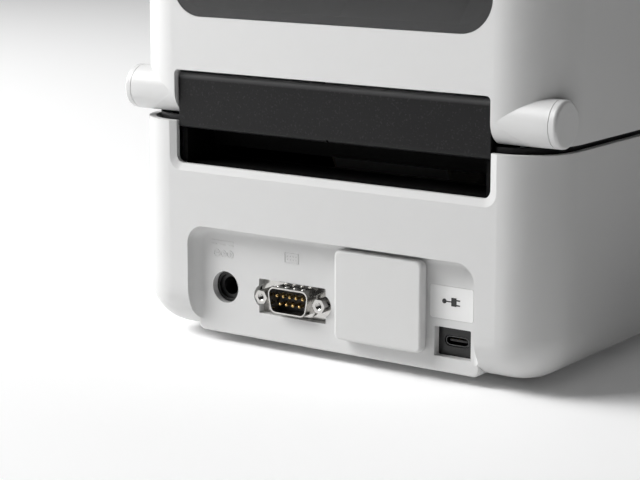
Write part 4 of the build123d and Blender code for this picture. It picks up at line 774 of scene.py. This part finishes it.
# Two rows of small ceramic parts with tinned ends, left out where a package stands.
small_parts = bmesh.new()
small_ends = bmesh.new()
for index in range(26):
    column, row = index % 13, index // 13
    x, y = -0.054 + 0.0041 * column + 0.0012 * row, 0.0735 + 0.0115 * row + 0.0014 * (column % 3)
    if abs(x + 0.008) < 0.009 or abs(x - 0.004) < 0.004:
        continue
    slab(small_parts, (x - 0.0007, y - 0.0006, board_top),
         (x + 0.0007, y + 0.0006, board_top + 0.0006))
    for side in (-1, 1):
        slab(small_ends, (x + side * 0.0009 - 0.00025, y - 0.00062, board_top),
             (x + side * 0.0009 + 0.00025, y + 0.00062, board_top + 0.00062))
piece("small_parts", small_parts,
      moulded("ceramic chip", (0.16, 0.09, 0.05), (0.22, 0.13, 0.07), 0.5, 900.0,
                                          0.000004), "base", smooth=False)
piece("small_ends", small_ends, nickel, "base", smooth=False)


# ---- control strip, buttons and lamps -----------------------------------------------------
# A glossy dark plate let into the front wall. The buttons are satin grey ABS, and each has a
# plain sign in white ink. Three lens caps carry the light of the status lamps.
gloss_plate = moulded("control plate", (0.035, 0.037, 0.040), (0.042, 0.044, 0.048), 0.20, 700.0,
                      0.000003)
button_grey = moulded("button grey", (0.40, 0.41, 0.42), (0.45, 0.46, 0.47), 0.42, 2200.0, 0.00001)
wear(gloss_plate, "control_plate")
wear(button_grey, "power_button", "feed_button", "mode_button", "latch_levers")
button_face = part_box("power_button")[0].y
sign_low, sign_high = button_face - 0.00006, button_face + 0.00004
power_x, feed_x, mode_x, sign_z = 0.015, 0.033, 0.049, 0.048
sign_ink = moulded("sign ink", (0.74, 0.74, 0.74), (0.80, 0.80, 0.80), 0.5, 3000.0, 0.000003)

power_sign = bmesh.new()
ring(power_sign, power_x, sign_z, 0.0019, 0.0023, sign_low, sign_high, 40)
slab(power_sign, (power_x - 0.0002, sign_low, sign_z - 0.0012),
     (power_x + 0.0002, sign_high, sign_z + 0.0012))
piece("power_sign", power_sign, sign_ink, "power_button", smooth=False)

feed_sign = bmesh.new()
slab(feed_sign, (feed_x - 0.0026, sign_low, sign_z + 0.0014),
     (feed_x + 0.0026, sign_high, sign_z + 0.0018))
slab(feed_sign, (feed_x - 0.0002, sign_low, sign_z - 0.0004),
     (feed_x + 0.0002, sign_high, sign_z + 0.0012))
arrow = Matrix.Translation((feed_x, (sign_low + sign_high) / 2, sign_z - 0.0009)) \
    @ Matrix.Rotation(math.radians(90), 4, "X") @ Matrix.Rotation(math.radians(90), 4, "Z")
bmesh.ops.create_cone(feed_sign, cap_ends=True, segments=3, radius1=0.0012, radius2=0.0012,
                      depth=sign_high - sign_low, matrix=arrow)
piece("feed_sign", feed_sign, sign_ink, "feed_button", smooth=False)

mode_sign = bmesh.new()
for line in range(3):
    z = sign_z + 0.0012 * (line - 1)
    slab(mode_sign, (mode_x - 0.0018, sign_low, z - 0.00018),
         (mode_x + 0.0018, sign_high, z + 0.00018))
piece("mode_sign", mode_sign, sign_ink, "mode_button", smooth=False)

lamp_lens = moulded("lamp lens", (0.10, 0.42, 0.14), (0.12, 0.50, 0.17), 0.22, 900.0, 0.000003)
lens_shader = lamp_lens.node_tree.nodes["Principled BSDF"]
lens_shader.inputs["Emission Color"].default_value = (0.10, 0.9, 0.25, 1)
lens_shader.inputs["Emission Strength"].default_value = 0.12
wear(lamp_lens, "status_lamps")
lamp_signs = bmesh.new()
plate_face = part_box("control_plate")[0].y
for spot in range(3):
    x = 0.059 + 0.0036 * spot
    ring(lamp_signs, x, 0.052, 0.00135, 0.0016, plate_face - 0.00005, plate_face + 0.00005, 24)
    for bar in range(spot + 1):
        mid = x + 0.0007 * (bar - spot / 2)
        slab(lamp_signs, (mid - 0.0002, plate_face - 0.00005, 0.0482),
             (mid + 0.0002, plate_face + 0.00005, 0.0494))
piece("lamp_signs", lamp_signs, sign_ink, "base", smooth=False)

# Key switches: a pressed steel cover over each black body.
switch_caps = bmesh.new()
switch_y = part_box("key_switches")[0].y
for x in (power_x, feed_x, mode_x):
    slab(switch_caps, (x - 0.0029, switch_y - 0.00015, sign_z - 0.0029),
         (x + 0.0029, switch_y + 0.0003, sign_z + 0.0029), 0.0001, 1)
piece("switch_covers", switch_caps, nickel, "base")


# ---- latch levers -------------------------------------------------------------------------
# One lever each side on the latch shaft, with four moulded grip bars near its end.
lever_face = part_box("latch_levers")[1].x
rest_lean = math.radians(16)
pivot = Matrix.Translation((0, -0.050, 0.072)) @ Matrix.Rotation(rest_lean, 4, "X")
grips = bmesh.new()
for side in (-1, 1):
    for bar in range(4):
        bmesh.ops.create_cube(grips, size=1.0,
                              matrix=Matrix.Translation((side * lever_face, 0, 0)) @ pivot
                              @ Matrix.Translation((0, 0, -0.0105 - 0.0022 * bar))
                              @ Matrix.Diagonal((0.0006, 0.0054, 0.0008, 1)))
bmesh.ops.bevel(grips, geom=grips.edges[:], offset=0.00015, segments=2, profile=0.5, affect="EDGES",
                material=-1)
piece("lever_grips", grips, button_grey, "latch")


# ---- print head ---------------------------------------------------------------------------
# An extruded aluminium heat sink carries an alumina strip. A glazed heater line runs along
# the strip, and a black resin bar covers the driver chips. A socket stands on its rear step.
aluminium = plated("extruded aluminium", (0.70, 0.71, 0.72), 0.34, (14.0, 1800.0, 1800.0), 0.000006)
alumina = moulded("alumina", (0.74, 0.74, 0.72), (0.78, 0.78, 0.76), 0.30, 1500.0, 0.000004)
wear(aluminium, "head_sink")
wear(alumina, "head_ceramic")
strip_low, strip_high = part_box("head_ceramic")
heater = bmesh.new()
slab(heater, (strip_low.x + 0.003, -0.09235, strip_low.z - 0.00006),
     (strip_high.x - 0.003, -0.09165,
                                                                   strip_low.z + 0.00002), 0.00003,
     1)
piece("heater_line", heater,
      moulded("heater glaze", (0.10, 0.075, 0.05), (0.14, 0.10, 0.07), 0.12, 600.0,
                                     0.000001), "print_head")
resin = bmesh.new()
slab(resin, (strip_low.x + 0.006, -0.0885, strip_low.z - 0.0004), (strip_high.x - 0.006, -0.0850,
                                                                strip_low.z + 0.0001), 0.00025, 2)
piece("driver_resin", resin, chip_black, "print_head")
head_socket = bmesh.new()
sink_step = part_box("head_ceramic")[1].z + 0.003
slab(head_socket, (-0.014, -0.0790, sink_step), (0.014, -0.0740, sink_step + 0.0042), 0.0003, 2)
piece("head_socket", head_socket, cream, "print_head")
head_pins = bmesh.new()
for pin in range(12):
    x = 0.0020 * (pin - 5.5)
    slab(head_pins, (x - 0.00025, -0.0768, sink_step + 0.0040),
         (x + 0.00025, -0.0763, sink_step + 0.0055))
piece("head_pins", head_pins, gold, "print_head", smooth=False)
